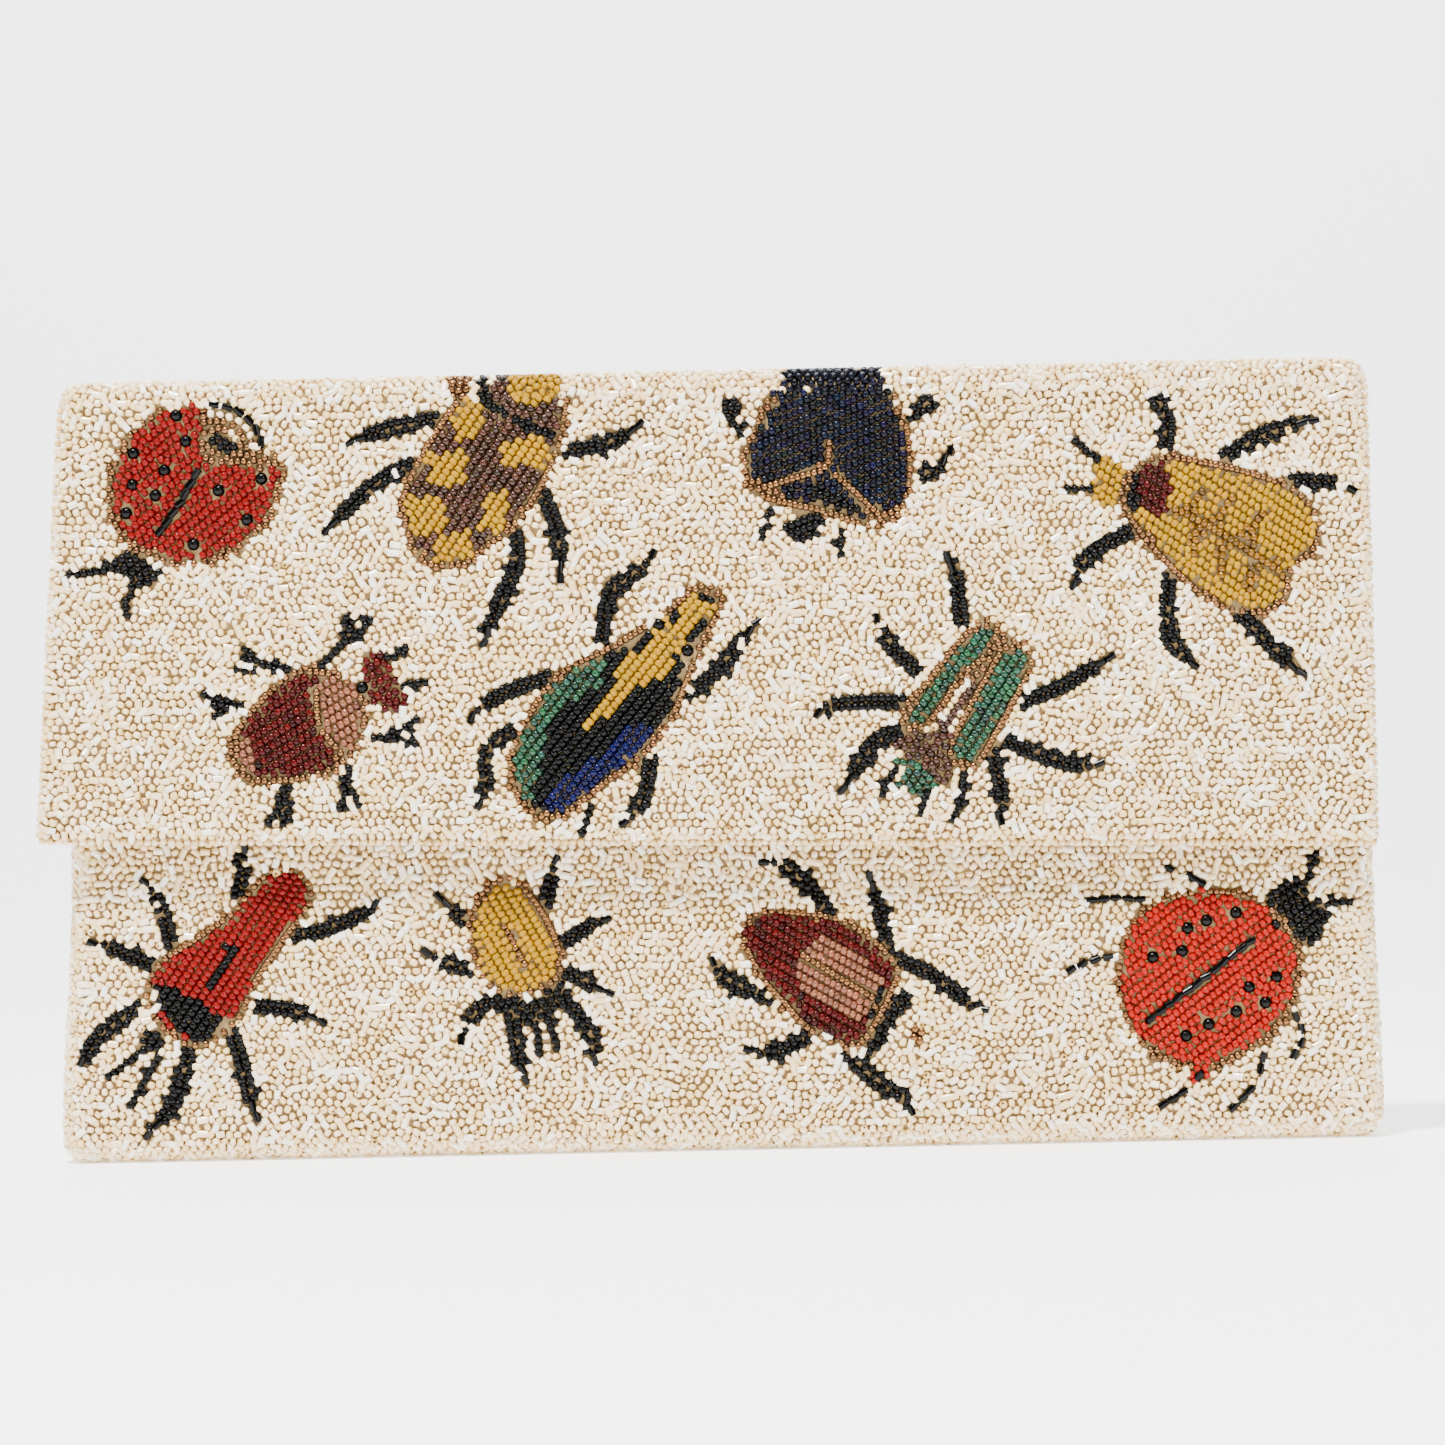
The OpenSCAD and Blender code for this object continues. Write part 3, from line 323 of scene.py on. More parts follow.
class Route:
    """A bent line that can be read off by the distance along it."""

    def __init__(self, points):
        self.points = np.array(points, float)
        self.far = np.concatenate([[0], np.cumsum(np.linalg.norm(np.diff(self.points, axis=0), axis=1))])
        self.length = self.far[-1]

    def at(self, s, values=None):
        columns = (self.points if values is None else np.array(values, float)).T
        return np.stack([np.interp(s, self.far, column) for column in columns], -1)


# ---------------------------------------------------------------- materials
def set_sockets(node, sockets):
    for socket, value in sockets.items():
        node.inputs[socket.replace("_", " ")].default_value = value
    return node


def principled(name, **sockets):
    mat = bpy.data.materials.new(name)
    mat.use_nodes = True
    return mat, mat.node_tree, set_sockets(mat.node_tree.nodes["Principled BSDF"], sockets)


def new_node(tree, kind, operation=None, **sockets):
    node = tree.nodes.new("ShaderNode" + kind)
    if operation:
        node.operation = operation
    return set_sockets(node, sockets)


def link(tree, a, out, b, into):
    tree.links.new(a.outputs[out], b.inputs[into])


def texture(tree, kind, **sockets):
    """A texture in the piece's own coordinates."""
    node = new_node(tree, kind, **sockets)
    link(tree, new_node(tree, "TexCoord"), "Object", node, "Vector")
    return node


def ramp_between(tree, low, high, start=0.0, end=1.0):
    ramp = new_node(tree, "ValToRGB")
    for element, colour, at in zip(ramp.color_ramp.elements, (low, high), (start, end)):
        element.position = at
        element.color = (*colour, 1)
    return ramp


def bead_glass(name, rough=0.2, metallic=0.0, coat=0.0, specular=0.5, grain=0.0, glow=0.0):
    """Bead glass: its colour, with the painted shade on the beads' sides, rides on the mesh, with a faint
    mottling where grain is set.
    """
    mat, tree, bsdf = principled(name, Roughness=rough, Metallic=metallic, Coat_Weight=coat,
                                 Coat_Roughness=0.06, Specular_IOR_Level=specular)
    tint = new_node(tree, "Attribute")
    tint.attribute_name = "tint"
    mottle = texture(tree, "TexNoise", Scale=900.0, Detail=2.0)
    level = new_node(tree, "MapRange", From_Min=0.3, From_Max=0.7, To_Min=1.0 - grain,
                     To_Max=1.0 + grain)
    mix = new_node(tree, "VectorMath", "SCALE")
    link(tree, mottle, "Fac", level, "Value")
    link(tree, tint, "Color", mix, 0)
    link(tree, level, "Result", mix, "Scale")
    link(tree, mix, "Vector", bsdf, "Base Color")
    if glow:
        set_sockets(bsdf, {"Subsurface Weight": glow, "Subsurface Radius": (1.0, 0.7, 0.4),
                           "Subsurface Scale": 0.0008})
    return mat


def weave(name, dark, light, scale=1400.0, rough=0.85, depth=0.15, sheen=0.2):
    """Woven cloth: two crossing sets of threads with uneven colour."""
    mat, tree, bsdf = principled(name, Roughness=rough, Sheen_Weight=sheen)
    cross = new_node(tree, "Math", "MULTIPLY")
    for socket, direction in enumerate(("X", "Z")):
        wave = texture(tree, "TexWave", Scale=scale, Distortion=1.2, Detail=1.0)
        wave.bands_direction = direction
        link(tree, wave, "Fac", cross, socket)
    cloud = texture(tree, "TexNoise", Scale=90.0, Detail=4.0)
    blend = new_node(tree, "Math", "MULTIPLY_ADD")
    blend.inputs[1].default_value = 0.5
    link(tree, cross, "Value", blend, 0)
    link(tree, cloud, "Fac", blend, 2)
    ramp = ramp_between(tree, dark, light, 0.35, 0.85)
    link(tree, blend, "Value", ramp, "Fac")
    link(tree, ramp, "Color", bsdf, "Base Color")
    bump = new_node(tree, "Bump", Strength=depth, Distance=0.0003)
    link(tree, cross, "Value", bump, "Height")
    link(tree, bump, "Normal", bsdf, "Normal")
    return mat


def metal(name, colour, rough=0.18):
    """Plated metal with fine brushed scratches."""
    mat, tree, bsdf = principled(name, Metallic=1.0)
    scratch = texture(tree, "TexNoise", Scale=600.0, Detail=6.0)
    level = new_node(tree, "MapRange", To_Min=rough * 0.7, To_Max=rough * 1.5)
    link(tree, scratch, "Fac", level, "Value")
    link(tree, level, "Result", bsdf, "Roughness")
    ramp = ramp_between(tree, [c * 0.9 for c in colour], colour)
    link(tree, scratch, "Fac", ramp, "Fac")
    link(tree, ramp, "Color", bsdf, "Base Color")
    return mat


CREAM_SEED = bead_glass("cream_lustre_glass", rough=0.22, coat=0.35, grain=0.03, glow=0.15)
CREAM_TUBE = bead_glass("satin_tube_glass", rough=0.16, coat=0.5, grain=0.02, glow=0.1)
GROUND = weave("ground_cotton", (0.24, 0.15, 0.06), (0.38, 0.26, 0.11), scale=900, rough=0.9)
SATIN = weave("lining_satin", (0.42, 0.31, 0.20), (0.58, 0.45, 0.31), scale=2600, rough=0.38,
              depth=0.05, sheen=0.4)
TAPE = weave("grosgrain_tape", (0.38, 0.29, 0.21), (0.55, 0.45, 0.34), scale=520, rough=0.6,
             depth=0.5)
FELT = weave("pressed_felt", (0.52, 0.48, 0.42), (0.70, 0.67, 0.60), scale=300, rough=0.95)
NICKEL = metal("nickel_plate", (0.72, 0.70, 0.67))
FERRITE = metal("dark_magnet", (0.10, 0.10, 0.11), 0.5)

# Colours of the beetle beads: top, side (darker: painted shade on the bead's sides and underside), spread
# of the shade from bead to bead, and the glass
GLASS = {
    "red": ((0.150, 0.0001, 0.0001), (0.05, 0.0001, 0.0001), 0.18,
            bead_glass("red_glass", 0.10, specular=0.16)),
    "coral": ((0.29, 0.003, 0.0008), (0.11, 0.0008, 0.0002), 0.12,
              bead_glass("coral_glass", 0.11, specular=0.16)),
    "crimson": ((0.046, 0.0003, 0.0004), (0.013, 0.0001, 0.0001), 0.5,
                bead_glass("crimson_glass", 0.12, 0.1, specular=0.18)),
    "garnet": ((0.040, 0.0003, 0.001), (0.010, 0.0001, 0.0003), 0.40,
               bead_glass("garnet_glass", 0.12, 0.1, specular=0.18)),
    "yellow": ((0.34, 0.175, 0.0002), (0.14, 0.055, 0.0001), 0.14,
               bead_glass("yellow_glass", 0.11, specular=0.18)),
    "amber": ((0.19, 0.080, 0.001), (0.06, 0.018, 0.0003), 0.45, bead_glass("amber_glass", 0.14, 0.4)),
    "brown": ((0.040, 0.012, 0.005), (0.012, 0.003, 0.001), 0.45, bead_glass("brown_glass", 0.2, 0.3)),
    "iris": ((0.0024, 0.0026, 0.008), (0.0008, 0.0008, 0.0024), 0.7,
             bead_glass("iris_glass", 0.10, 0.15, specular=0.16)),
    "peach": ((0.19, 0.060, 0.027), (0.075, 0.019, 0.008), 0.35, bead_glass("peach_glass", 0.16, 0.25)),
    "green": ((0.009, 0.050, 0.023), (0.002, 0.012, 0.005), 0.55, bead_glass("green_glass", 0.12, 0.3)),
    "cobalt": ((0.0018, 0.0022, 0.036), (0.0005, 0.0006, 0.009), 0.45,
               bead_glass("cobalt_glass", 0.10, 0.1, specular=0.18)),
    "bronze": ((0.21, 0.097, 0.036), (0.065, 0.026, 0.009), 0.28, bead_glass("bronze_glass", 0.23, 0.9)),
    "black": ((0.0005, 0.0005, 0.0006), (0.0003, 0.0003, 0.0003), 0.3,
              bead_glass("jet_glass", 0.05, specular=0.14)),
}


# ---------------------------------------------------------------- the CAD's beads, one by one
WELD_GRID = 2000.0      # steps in a millimetre: points closer than one step are the same


def cad_beads(node):
    """Centre, heading in the panel, length and diameter of each separate bead in a CAD node."""
    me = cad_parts[node].data
    co = node_points(node)
    me.calc_loop_triangles()
    tri = np.empty(len(me.loop_triangles) * 3, np.int32)
    me.loop_triangles.foreach_get("vertices", tri)
    keys, same = np.unique(np.round(co * WELD_GRID).astype(np.int64), axis=0, return_inverse=True)
    tri = same.reshape(-1)[tri].reshape(-1, 3)
    label = np.arange(len(keys))
    while True:
        low = label[tri].min(1)
        new = label.copy()
        for i in range(3):
            np.minimum.at(new, tri[:, i], low)
        new = new[new]
        if (new == label).all():
            break
        label = new
    pts = keys / WELD_GRID
    _, group = np.unique(label, return_inverse=True)
    count = group.max() + 1
    lo, hi = np.full((count, 3), 1e9), np.full((count, 3), -1e9)
    np.minimum.at(lo, group, pts)
    np.maximum.at(hi, group, pts)
    centre, deep = (lo + hi) / 2, (hi - lo)[:, 1]
    a, b, c = pts[tri[:, 0]], pts[tri[:, 1]], pts[tri[:, 2]]
    n = np.cross(b - a, c - a)
    area = np.linalg.norm(n, axis=1)
    n = n / np.maximum(area, 1e-12)[:, None]
    m = np.zeros((count, 3, 3))
    np.add.at(m, group[tri[:, 0]], n[:, :, None] * n[:, None, :] * area[:, None, None])
    flat = m[:, [0, 2]][:, :, [0, 2]]
    value, vector = np.linalg.eigh(flat)
    pick = np.argmax(np.abs(value - m[:, 1, 1][:, None]), 1)
    axis = vector[np.arange(count), :, pick]
    heading = np.arctan2(axis[:, 1], axis[:, 0])
    along = pts[:, [0, 2]][:, 0] * axis[group, 0] + pts[:, 2] * axis[group, 1]
    near, far = np.full(count, 1e9), np.full(count, -1e9)
    np.minimum.at(near, group, along)
    np.maximum.at(far, group, along)
    return centre[:, [0, 2]], heading, far - near, deep


def turned(t, n, angle, tilt):
    """An axis in the surface at angle from t, tipped out of it by tilt."""
    b = np.cross(n, t)
    flat = t * np.cos(angle)[:, None] + b * np.sin(angle)[:, None]
    return unit(flat * np.cos(tilt)[:, None] + n * np.sin(tilt)[:, None])


def shade(colour, spread, n, hue=0.0):
    """Uneven shades of one colour, for n beads."""
    level = 1 + spread * rng.normal(0, 0.5, (n, 1)).clip(-1.6, 1.6)
    return np.clip(np.array(colour) * level * (1 + hue * rng.normal(0, 1, (n, 3))), 0.001, 0.97)


def tree_of(places):
    tree = kdtree.KDTree(len(places))
    for k, f in enumerate(places):
        tree.insert((f[0], f[1], f[2] if len(f) > 2 else 0), k)
    tree.balance()
    return tree


def spaced(p, reach, fixed, fixed_reach, rounds, keep, strength=0.42, limit=0.5):
    """Nudges places apart until beads of those reaches only just touch."""
    wide = np.concatenate([reach, fixed_reach])
    for _ in range(rounds):
        tree = tree_of(np.vstack([p, fixed]))
        near = np.array([[k for _, k, _ in tree.find_n((a, b, 0), 8)][1:] for a, b in p])
        for _ in range(2):
            d = p[:, None] - np.vstack([p, fixed])[near]
            dist = np.maximum(np.linalg.norm(d, axis=-1), 1e-6)
            want = (reach[:, None] + wide[near]) * 0.97
            push = np.clip(want - dist, 0, 0.6)[:, :, None] * d / dist[:, :, None]
            moved = p + strength * push.sum(1).clip(-limit, limit)
            p = np.where(keep(moved)[:, None], moved, p)
    return p


def gaps(width, height, u0, v0, keep, places, reach, room, pitch=0.5):
    """Places where one more bead fits: the widest gaps first."""
    i, j = np.meshgrid(np.arange(0, width, pitch), np.arange(0, height, pitch))
    cand = np.stack([i.ravel() + u0, j.ravel() + v0], -1)
    cand = cand[keep(cand)]
    tree = tree_of(places)
    room_at = np.array([min(d - reach[k] for _, k, d in tree.find_n((a, b, 0), 3)) for a, b in cand])
    cand, room_at = cand[room_at > room], room_at[room_at > room]
    order = np.argsort(-room_at)
    chosen, cells = [], {}
    for k in order:
        a, b = cand[k]
        cell = (int(a // 2), int(b // 2))
        close = [q for di in (-1, 0, 1) for dj in (-1, 0, 1)
                 for q in cells.get((cell[0] + di, cell[1] + dj), ())]
        if all((a - q[0]) ** 2 + (b - q[1]) ** 2 > (room + 0.95) ** 2 for q in close):
            chosen.append((a, b))
            cells.setdefault(cell, []).append((a, b))
    return np.array(chosen).reshape(-1, 2)


def field_mask(node):
    """True where the CAD's cream layer has beads of its own, and not an opening for a beetle."""
    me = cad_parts[node].data
    tree = BVHTree.FromPolygons([v.co[:] for v in me.vertices], [q.vertices[:] for q in me.polygons])
    way = Vector((0, 1, 0))

    def test(p):
        return np.array([tree.ray_cast(Vector((a * MM, -1, b * MM)), way)[0] is not None
                         for a, b in p], bool)
    return test


# How far each kind of bead reaches in the panel, and the CAD nodes that aren't named for a colour
REACH = {"seed": 0.86, "rim": 0.78, "tube": 0.95, "round": 1.45}
KINDS = {"tubes": ("black", "tube"), "rounds": ("black", "round"), "bronze": ("bronze", "rim")}
SHAPE_OF = {"seed": SEED, "rim": SEED, "tube": TUBE, "round": ROUND}
NONE = (np.zeros((0, 2)), np.zeros(0))
NEARBY = 4.2                # how far a bead looks for the beads round it
PLACED, FIELD = {}, {}      # for each panel: beetle beads and reaches; cream test, leg test and tree
fold_colours = []           # beetle beads at the fold: x, reach to each side and colour


def linked(a, b, near, reach=3.3):
    """True if a bead at (a, b) would close a gap between two of these in a row."""
    for i, p in enumerate(near):
        for q in near[i + 1:]:
            u, v = (p[0] - a, p[1] - b), (q[0] - a, q[1] - b)
            m, n = math.hypot(*u), math.hypot(*v)
            if m < reach and n < reach and u[0] * v[0] + u[1] * v[1] < -0.5 * m * n:
                return True
    return False


def enclosed(p, tree):
    """True where beetle beads lie all round, as inside a beetle's rim."""
    out = np.zeros(len(p), bool)
    for k, (a, b) in enumerate(p):
        found = tree.find_range((a, b, 0), NEARBY)
        if len(found) > 3:
            turn = np.sort([math.atan2(q[1] - b, q[0] - a) for q, _, _ in found])
            out[k] = max(np.diff(turn).max(), turn[0] + 2 * math.pi - turn[-1]) < 2.3
    return out


def crowd(place, found):
    """Which beads are a leg's or feeler's: black, with few others close round them."""
    tree = tree_of(place)
    return np.array([f[5] == "black" and len(tree.find_range((a, b, 0), NEARBY)) < 13
                     for (a, b), f in zip(place, found)])


def copied_bead(a, b, found, place, voters, tree):
    """The neighbour whose colour a filled-in bead takes, or None where it would blur an edge."""
    near = [(d, found[voters[k]], place[voters[k]]) for _, k, d in tree.find_n((a, b, 0), 6)]
    if near[0][0] > 2.4:
        return None
    votes = {}
    for d, f, _ in near:
        if f[6] != "tube":
            votes.setdefault(f[5], []).append((1 / max(d, 0.4) ** 2, f))
    ranked = sorted(votes.values(), key=lambda v: -sum(w for w, _ in v))
    thin = ("black", "bronze")
    if ranked and ranked[0][0][1][5] in thin and not linked(
            a, b, [q for _, f, q in near if f[5] == ranked[0][0][1][5]]):
        first = near[0][0] + 0.35
        ranked = [v for v in ranked[1:] if v[0][1][5] not in thin
                  and 1 / math.sqrt(max(w for w, _ in v)) < first]
    return max(ranked[0], key=lambda w: w[0])[1] if ranked else None


def beetles(panel, face, body, keep, top):
    """Sews a panel's beetles: the CAD's beads, with more filled in where the gaps are wide.

    A found bead is x, z, heading, length, depth, colour, kind and its CAD node.
    """
    found = []
    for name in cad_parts:
        kind = name[len(panel) + 1:]
        if name.startswith(panel + "_") and (kind in GLASS or kind in KINDS):
            colour, shape = KINDS.get(kind, (kind, "seed"))
            found += [(*at, *sizes, colour, shape, name) for at, *sizes in zip(*cad_beads(name))]
    place = np.array([f[:2] for f in found])
    reach = np.array([REACH[f[6]] for f in found])
    fold_colours.extend((f[0], 1.3 if f[5] == "black" else 2.6, f[5]) for f in found
                        if panel == "flap" and f[6] != "tube" and f[1] > FOLD_BAND - 1)
    cream = field_mask(panel + "_field")
    inside = lambda p: keep(p) & ~cream(p)
    anywhere = lambda p: np.ones(len(p), bool)
    lo, hi = place.min(0) - 2, place.max(0) + 2
    for room in (0.62, 0.5):
        extra = gaps(*(hi - lo), *lo, inside, place, reach, room)
        voters = np.array([k for k, f in enumerate(found) if f[6] != "round"])
        tree = tree_of(place[voters])
        copies = [(a, b, copied_bead(a, b, found, place, voters, tree)) for a, b in extra]
        fresh = [(a, b, *f[2:]) for a, b, f in copies if f]
        found += fresh
        place = np.vstack([place, np.array([f[:2] for f in fresh]).reshape(-1, 2)])
        reach = np.array([REACH[f[6]] for f in found])
        place = spaced(place, reach, *NONE, 2, anywhere, 0.3, 0.12)
    shown = (place[:, 1] < top) & keep(place)
    place, reach = place[shown], reach[shown]
    found = [f for f, ok in zip(found, shown) if ok]
    PLACED[panel] = (place, reach)
    FIELD[panel] = (cream, crowd(place, found), tree_of(place))
    for node in sorted({f[7] for f in found}):
        pick = [k for k, f in enumerate(found) if f[7] == node]
        sewn(node, place[pick], [found[k] for k in pick], face, body)


def sewn(node, place, found, face, body):
    """One CAD node's beads, each a little askew, as sewn by hand."""
    n = len(place)
    colour, kind = found[0][5], found[0][6]
    top, side, spread, material = GLASS[colour]
    loose = 0.0 if kind == "round" else 1.0
    heading, length, deep = (np.array([f[i] for f in found]) for i in (2, 3, 4))
    wander = 0.14 if kind in ("rim", "tube") else 0.34
    p, t, nrm = framed(face, place[:, 0], place[:, 1], (0, -1, 0))
    flip = -1 if np.cross(nrm[0], t[0])[2] < 0 else 1
    axis = turned(t, nrm, flip * heading + loose * rng.normal(0, wander, n),
                  loose * rng.normal(0, 0.14, n))
    size = 1 + loose * rng.normal(0, 0.035, n)
    if kind in ("seed", "rim"):
        size = size * (1.18 if colour == "black" else 1.1 if kind == "seed" else 1.2)
    sink = deep * size / 2 - loose * rng.uniform(0.05, 0.32, n) - (0.25 if kind == "tube" else 0)
    hue = {"iris": 0.35, "green": 0.15, "brown": 0.12, "crimson": 0.1}.get(colour, 0.03)
    tops = shade(top, spread, n, hue)
    beads = Beads()
    # Painted shade: the sides take each bead's top colour scaled down to the darker side colour
    beads.add(p - nrm * sink[:, None], axis, nrm, length * size, deep * size, tops,
              tops * (np.array(side) / np.array(top)))
    beads.build(node + "_sewn", SHAPE_OF[kind], material, rider(body), replaces=[node])


def on_flap(p):
    x, z = p[:, 0], p[:, 1]
    return ((x > flap_left_x(z) + 0.75) & (x < HALF_W - 0.75) & (z > flap_bottom_z(x) + 0.8)
            & (z < FOLD_BAND + 1.5))


SNAP_R = (snap_hi[0] - snap_lo[0]) / 2


def within(u0, u1, v0, v1, edge=0.7, clear=False):
    """The test for a rectangle, which may also keep clear of the snap."""
    def test(p):
        ok = (p[:, 0] > u0 + edge) & (p[:, 0] < u1 - edge) & (p[:, 1] > v0 + edge) & (p[:, 1] < v1 - edge)
        if clear:
            ok &= np.hypot(p[:, 0] - SNAP[0], p[:, 1] - SNAP[2]) > SNAP_R + 0.8
        return ok
    return test


SPLIT_Z = FLAP_RIGHT[1] + 12
beetles("flap", flap_face, "flap", on_flap, FOLD_BAND - 0.1)
beetles("front", front_face, "pouch", within(-HALF_W, HALF_W, 0, MOUTH_Z, clear=True), MOUTH_Z)


# ---------------------------------------------------------------- the cream field
CREAM_TOPS = np.array([(0.92, 0.69, 0.40), (0.94, 0.73, 0.45), (0.84, 0.62, 0.29),
                       (0.95, 0.74, 0.49), (0.82, 0.59, 0.25)])
TUBE_TOPS = np.array([(0.95, 0.79, 0.58), (0.90, 0.69, 0.42), (0.96, 0.87, 0.74), (0.84, 0.63, 0.33)])
# How the cream beads' sides differ from their tops: partly the glass's own yellower lustre, partly painted
# shade darkening them towards the cloth
CREAM_SIDE_LUSTRE_AND_SHADE = np.array([0.60, 0.46, 0.20])
TUBE_SHARE = 0.34
CREAM_REACH = 0.92
STEP, STEP_PLAIN = 2.06, 2.14   # mm from bead to bead, where seen closely and where not
ROW = 0.866                     # from row to row, in steps


def packed(box, keep, step=STEP, panel=None):
    """Places spread evenly but without order over a face, clear of the beetles of its panel."""
    fixed, reach = PLACED.get(panel, NONE)
    whole = keep
    if panel:
        cream, legs, near = FIELD[panel]

        def keep(p):
            ok = whole(p)
            ok[ok] = cream(p[ok])
            rest = whole(p) & ~ok
            ok[rest] = legs_nearest(p[rest], legs, near) | ~enclosed(p[rest], near)
            return ok
    u0, u1, v0, v1 = box
    cols, lines = int((u1 - u0) / step) + 1, int((v1 - v0) / (step * ROW)) + 1
    i, j = np.meshgrid(np.arange(cols), np.arange(lines))
    p = np.stack([(i + 0.5 * (j % 2)) * step + u0 + 0.8, j * step * ROW + v0 + 0.8], -1).reshape(-1, 2)
    p += rng.normal(0, step * 0.24, p.shape)
    p = p[keep(p)]
    if panel:
        gap = np.array([min(d - reach[k] for _, k, d in near.find_n((a, b, 0), 3)) for a, b in p])
        p = p[gap > 0.55]
    p = spaced(p, np.full(len(p), step / 2), fixed, reach, 4, whole)
    wide = np.concatenate([np.full(len(p), CREAM_REACH), reach])
    more = gaps(u1 - u0, v1 - v0, u0, v0, keep, np.vstack([p, fixed]), wide, 0.42)
    p = np.vstack([p, more])
    return spaced(p, np.full(len(p), step / 2), fixed, reach, 2, whole, 0.3)


def legs_nearest(p, legs, near):
    """True where the nearest beetle bead is a leg's, but not in a gap along the leg itself."""
    out = []
    for a, b in p:
        found = near.find_n((a, b, 0), 4)
        out.append(legs[found[0][1]] and not linked(a, b, [q for q, k, _ in found if legs[k]], 2.5))
    return np.array(out, bool)


def strew(u, v, face, outward, seeds, tubes, thin=0.0, colours=()):
    """Cream beads at places on a face, in short strings that wander over it.

    With thin, beads that lie closer than that are dropped. Beads near a spot in colours are left
    out too, and the first thing returned says which spot each bead belongs to, or -1.
    """
    p, t, nrm = framed(face, u, v, outward)
    if thin:
        tree, left = tree_of(p), np.ones(len(p), bool)
        for k, place in enumerate(p):
            if left[k]:
                for _, m, _ in tree.find_range(place, thin):
                    if m != k:
                        left[m] = False
        u, v, p, t, nrm = u[left], v[left], p[left], t[left], nrm[left]
    n = len(u)
    flow = (np.sin(u * 0.23 + v * 0.11 + 1.0) + np.sin(u * 0.09 - v * 0.27 + 2.2)
            + np.sin(u * 0.41 + v * 0.33) * 0.7) * 1.5
    angle = flow + rng.normal(0, 0.55, n)
    stands = rng.random(n) < 0.05
    tilt = np.where(stands, rng.uniform(0.7, 1.4, n), rng.normal(0, 0.16, n))
    is_tube = (rng.random(n) < TUBE_SHARE) & ~stands
    rise = rng.uniform(-0.05, 0.30, n)
    axis = turned(t, nrm, angle, tilt)
    owner = np.full(n, -1)
    if len(colours):
        spots, room = np.array([c[:2] for c in colours]).T
        nearest = np.abs(u[:, None] - spots[None]).argmin(1)
        owner = np.where(np.abs(u - spots[nearest]) < room[nearest], nearest, -1)
    for pick, beads, tops, length, wide in ((~is_tube, seeds, CREAM_TOPS, 1.5, 2.0),
                                            (is_tube, tubes, TUBE_TOPS, 2.4, 1.75)):
        pick = pick & (owner < 0)
        k = int(pick.sum())
        if not k:
            continue
        top = tops[rng.integers(0, len(tops), k)] * (1 + rng.normal(0, 0.035, (k, 1)))
        size = 1 + rng.normal(0, 0.05, (k, 1))
        stretch = length * size * (1 + rng.normal(0, 0.07, (k, 1)))
        centre = p[pick] - nrm[pick] * (wide * size / 2 - rise[pick][:, None])
        beads.add(centre, axis[pick], nrm[pick], stretch, wide * size, top.clip(0, 0.95),
                  top * CREAM_SIDE_LUSTRE_AND_SHADE)
    return owner, p, axis, nrm


def cream_panel(name, box, face, outward, body, plain=False, panel=None, keep=None, step=STEP,
                replaces=True):
    """One face's cream beads; plain beads have fewer sides, for the faces seen less closely."""
    p = packed(box, keep or within(*box), step, panel)
    seeds, tubes = Beads(), Beads()
    strew(p[:, 0], p[:, 1], face, outward, seeds, tubes)
    seeds.build(name + "_seeds", SEED_PLAIN if plain else SEED, CREAM_SEED, rider(body),
                [name] if replaces else (), "cream_beads")
    tubes.build(name + "_tubes", TUBE_PLAIN if plain else TUBE, CREAM_TUBE, rider(body),
                slot="cream_beads")


W = HALF_W
LOW_FRONT, HIGH_FRONT = (-W, W, 0, SPLIT_Z), (-W, W, SPLIT_Z, MOUTH_Z)
cream_panel("flap_field", (FLAP_LEFT[0], W, FLAP_RIGHT[1], FOLD_BAND), flap_face, (0, -1, 0), "flap",
            panel="flap", keep=lambda p: on_flap(p) & (p[:, 1] < FOLD_BAND - 0.2))
cream_panel("front_field", LOW_FRONT, front_face, (0, -1, 0), "pouch", panel="front",
            keep=within(*LOW_FRONT, clear=True))
cream_panel("front_upper_field", HIGH_FRONT, front_face, (0, -1, 0), "pouch", True, "front",
            within(*HIGH_FRONT, clear=True), STEP_PLAIN, replaces=False)
cream_panel("back_field", (-W, W, 0, FOLD_BAND), back_face, (0, 1, 0), "pouch", True, step=STEP_PLAIN)
for side, label, face in ((-1, "left", left_face), (1, "right", right_face)):
    cream_panel(label + "_side_field", (FRONT_Y, BACK_Y, 0, MOUTH_Z), face, (side, 0, 0), "pouch", True)
cream_panel("base_field", (-W, W, FRONT_Y, BACK_Y), base_face, (0, 0, -1), "pouch", True)


def edge_row(name, points, normals, place, replaces=()):
    """One row of beads laid end to end along a free edge."""
    route = Route(points)
    s = np.arange(0.9, route.length - 0.6, 1.86)
    s = s + rng.normal(0, 0.08, len(s))
    at = route.at(s)
    nrm = unit(route.at(s, normals))
    d = unit(route.at(s + 0.4) - route.at(s - 0.4))
    n = len(at)
    axis = turned(d, nrm, rng.normal(0, 0.3, n), rng.normal(0, 0.2, n))
    top = CREAM_TOPS[rng.integers(0, len(CREAM_TOPS), n)] * (1 + rng.normal(0, 0.03, (n, 1)))
    beads = Beads()
    beads.add(at + nrm * rng.uniform(-0.1, 0.22, (n, 1)), axis, nrm, 1.55, 2.0, top, top * CREAM_SIDE_LUSTRE_AND_SHADE)
    beads.build(name, SEED, CREAM_SEED, place, replaces=replaces, slot="cream_beads")


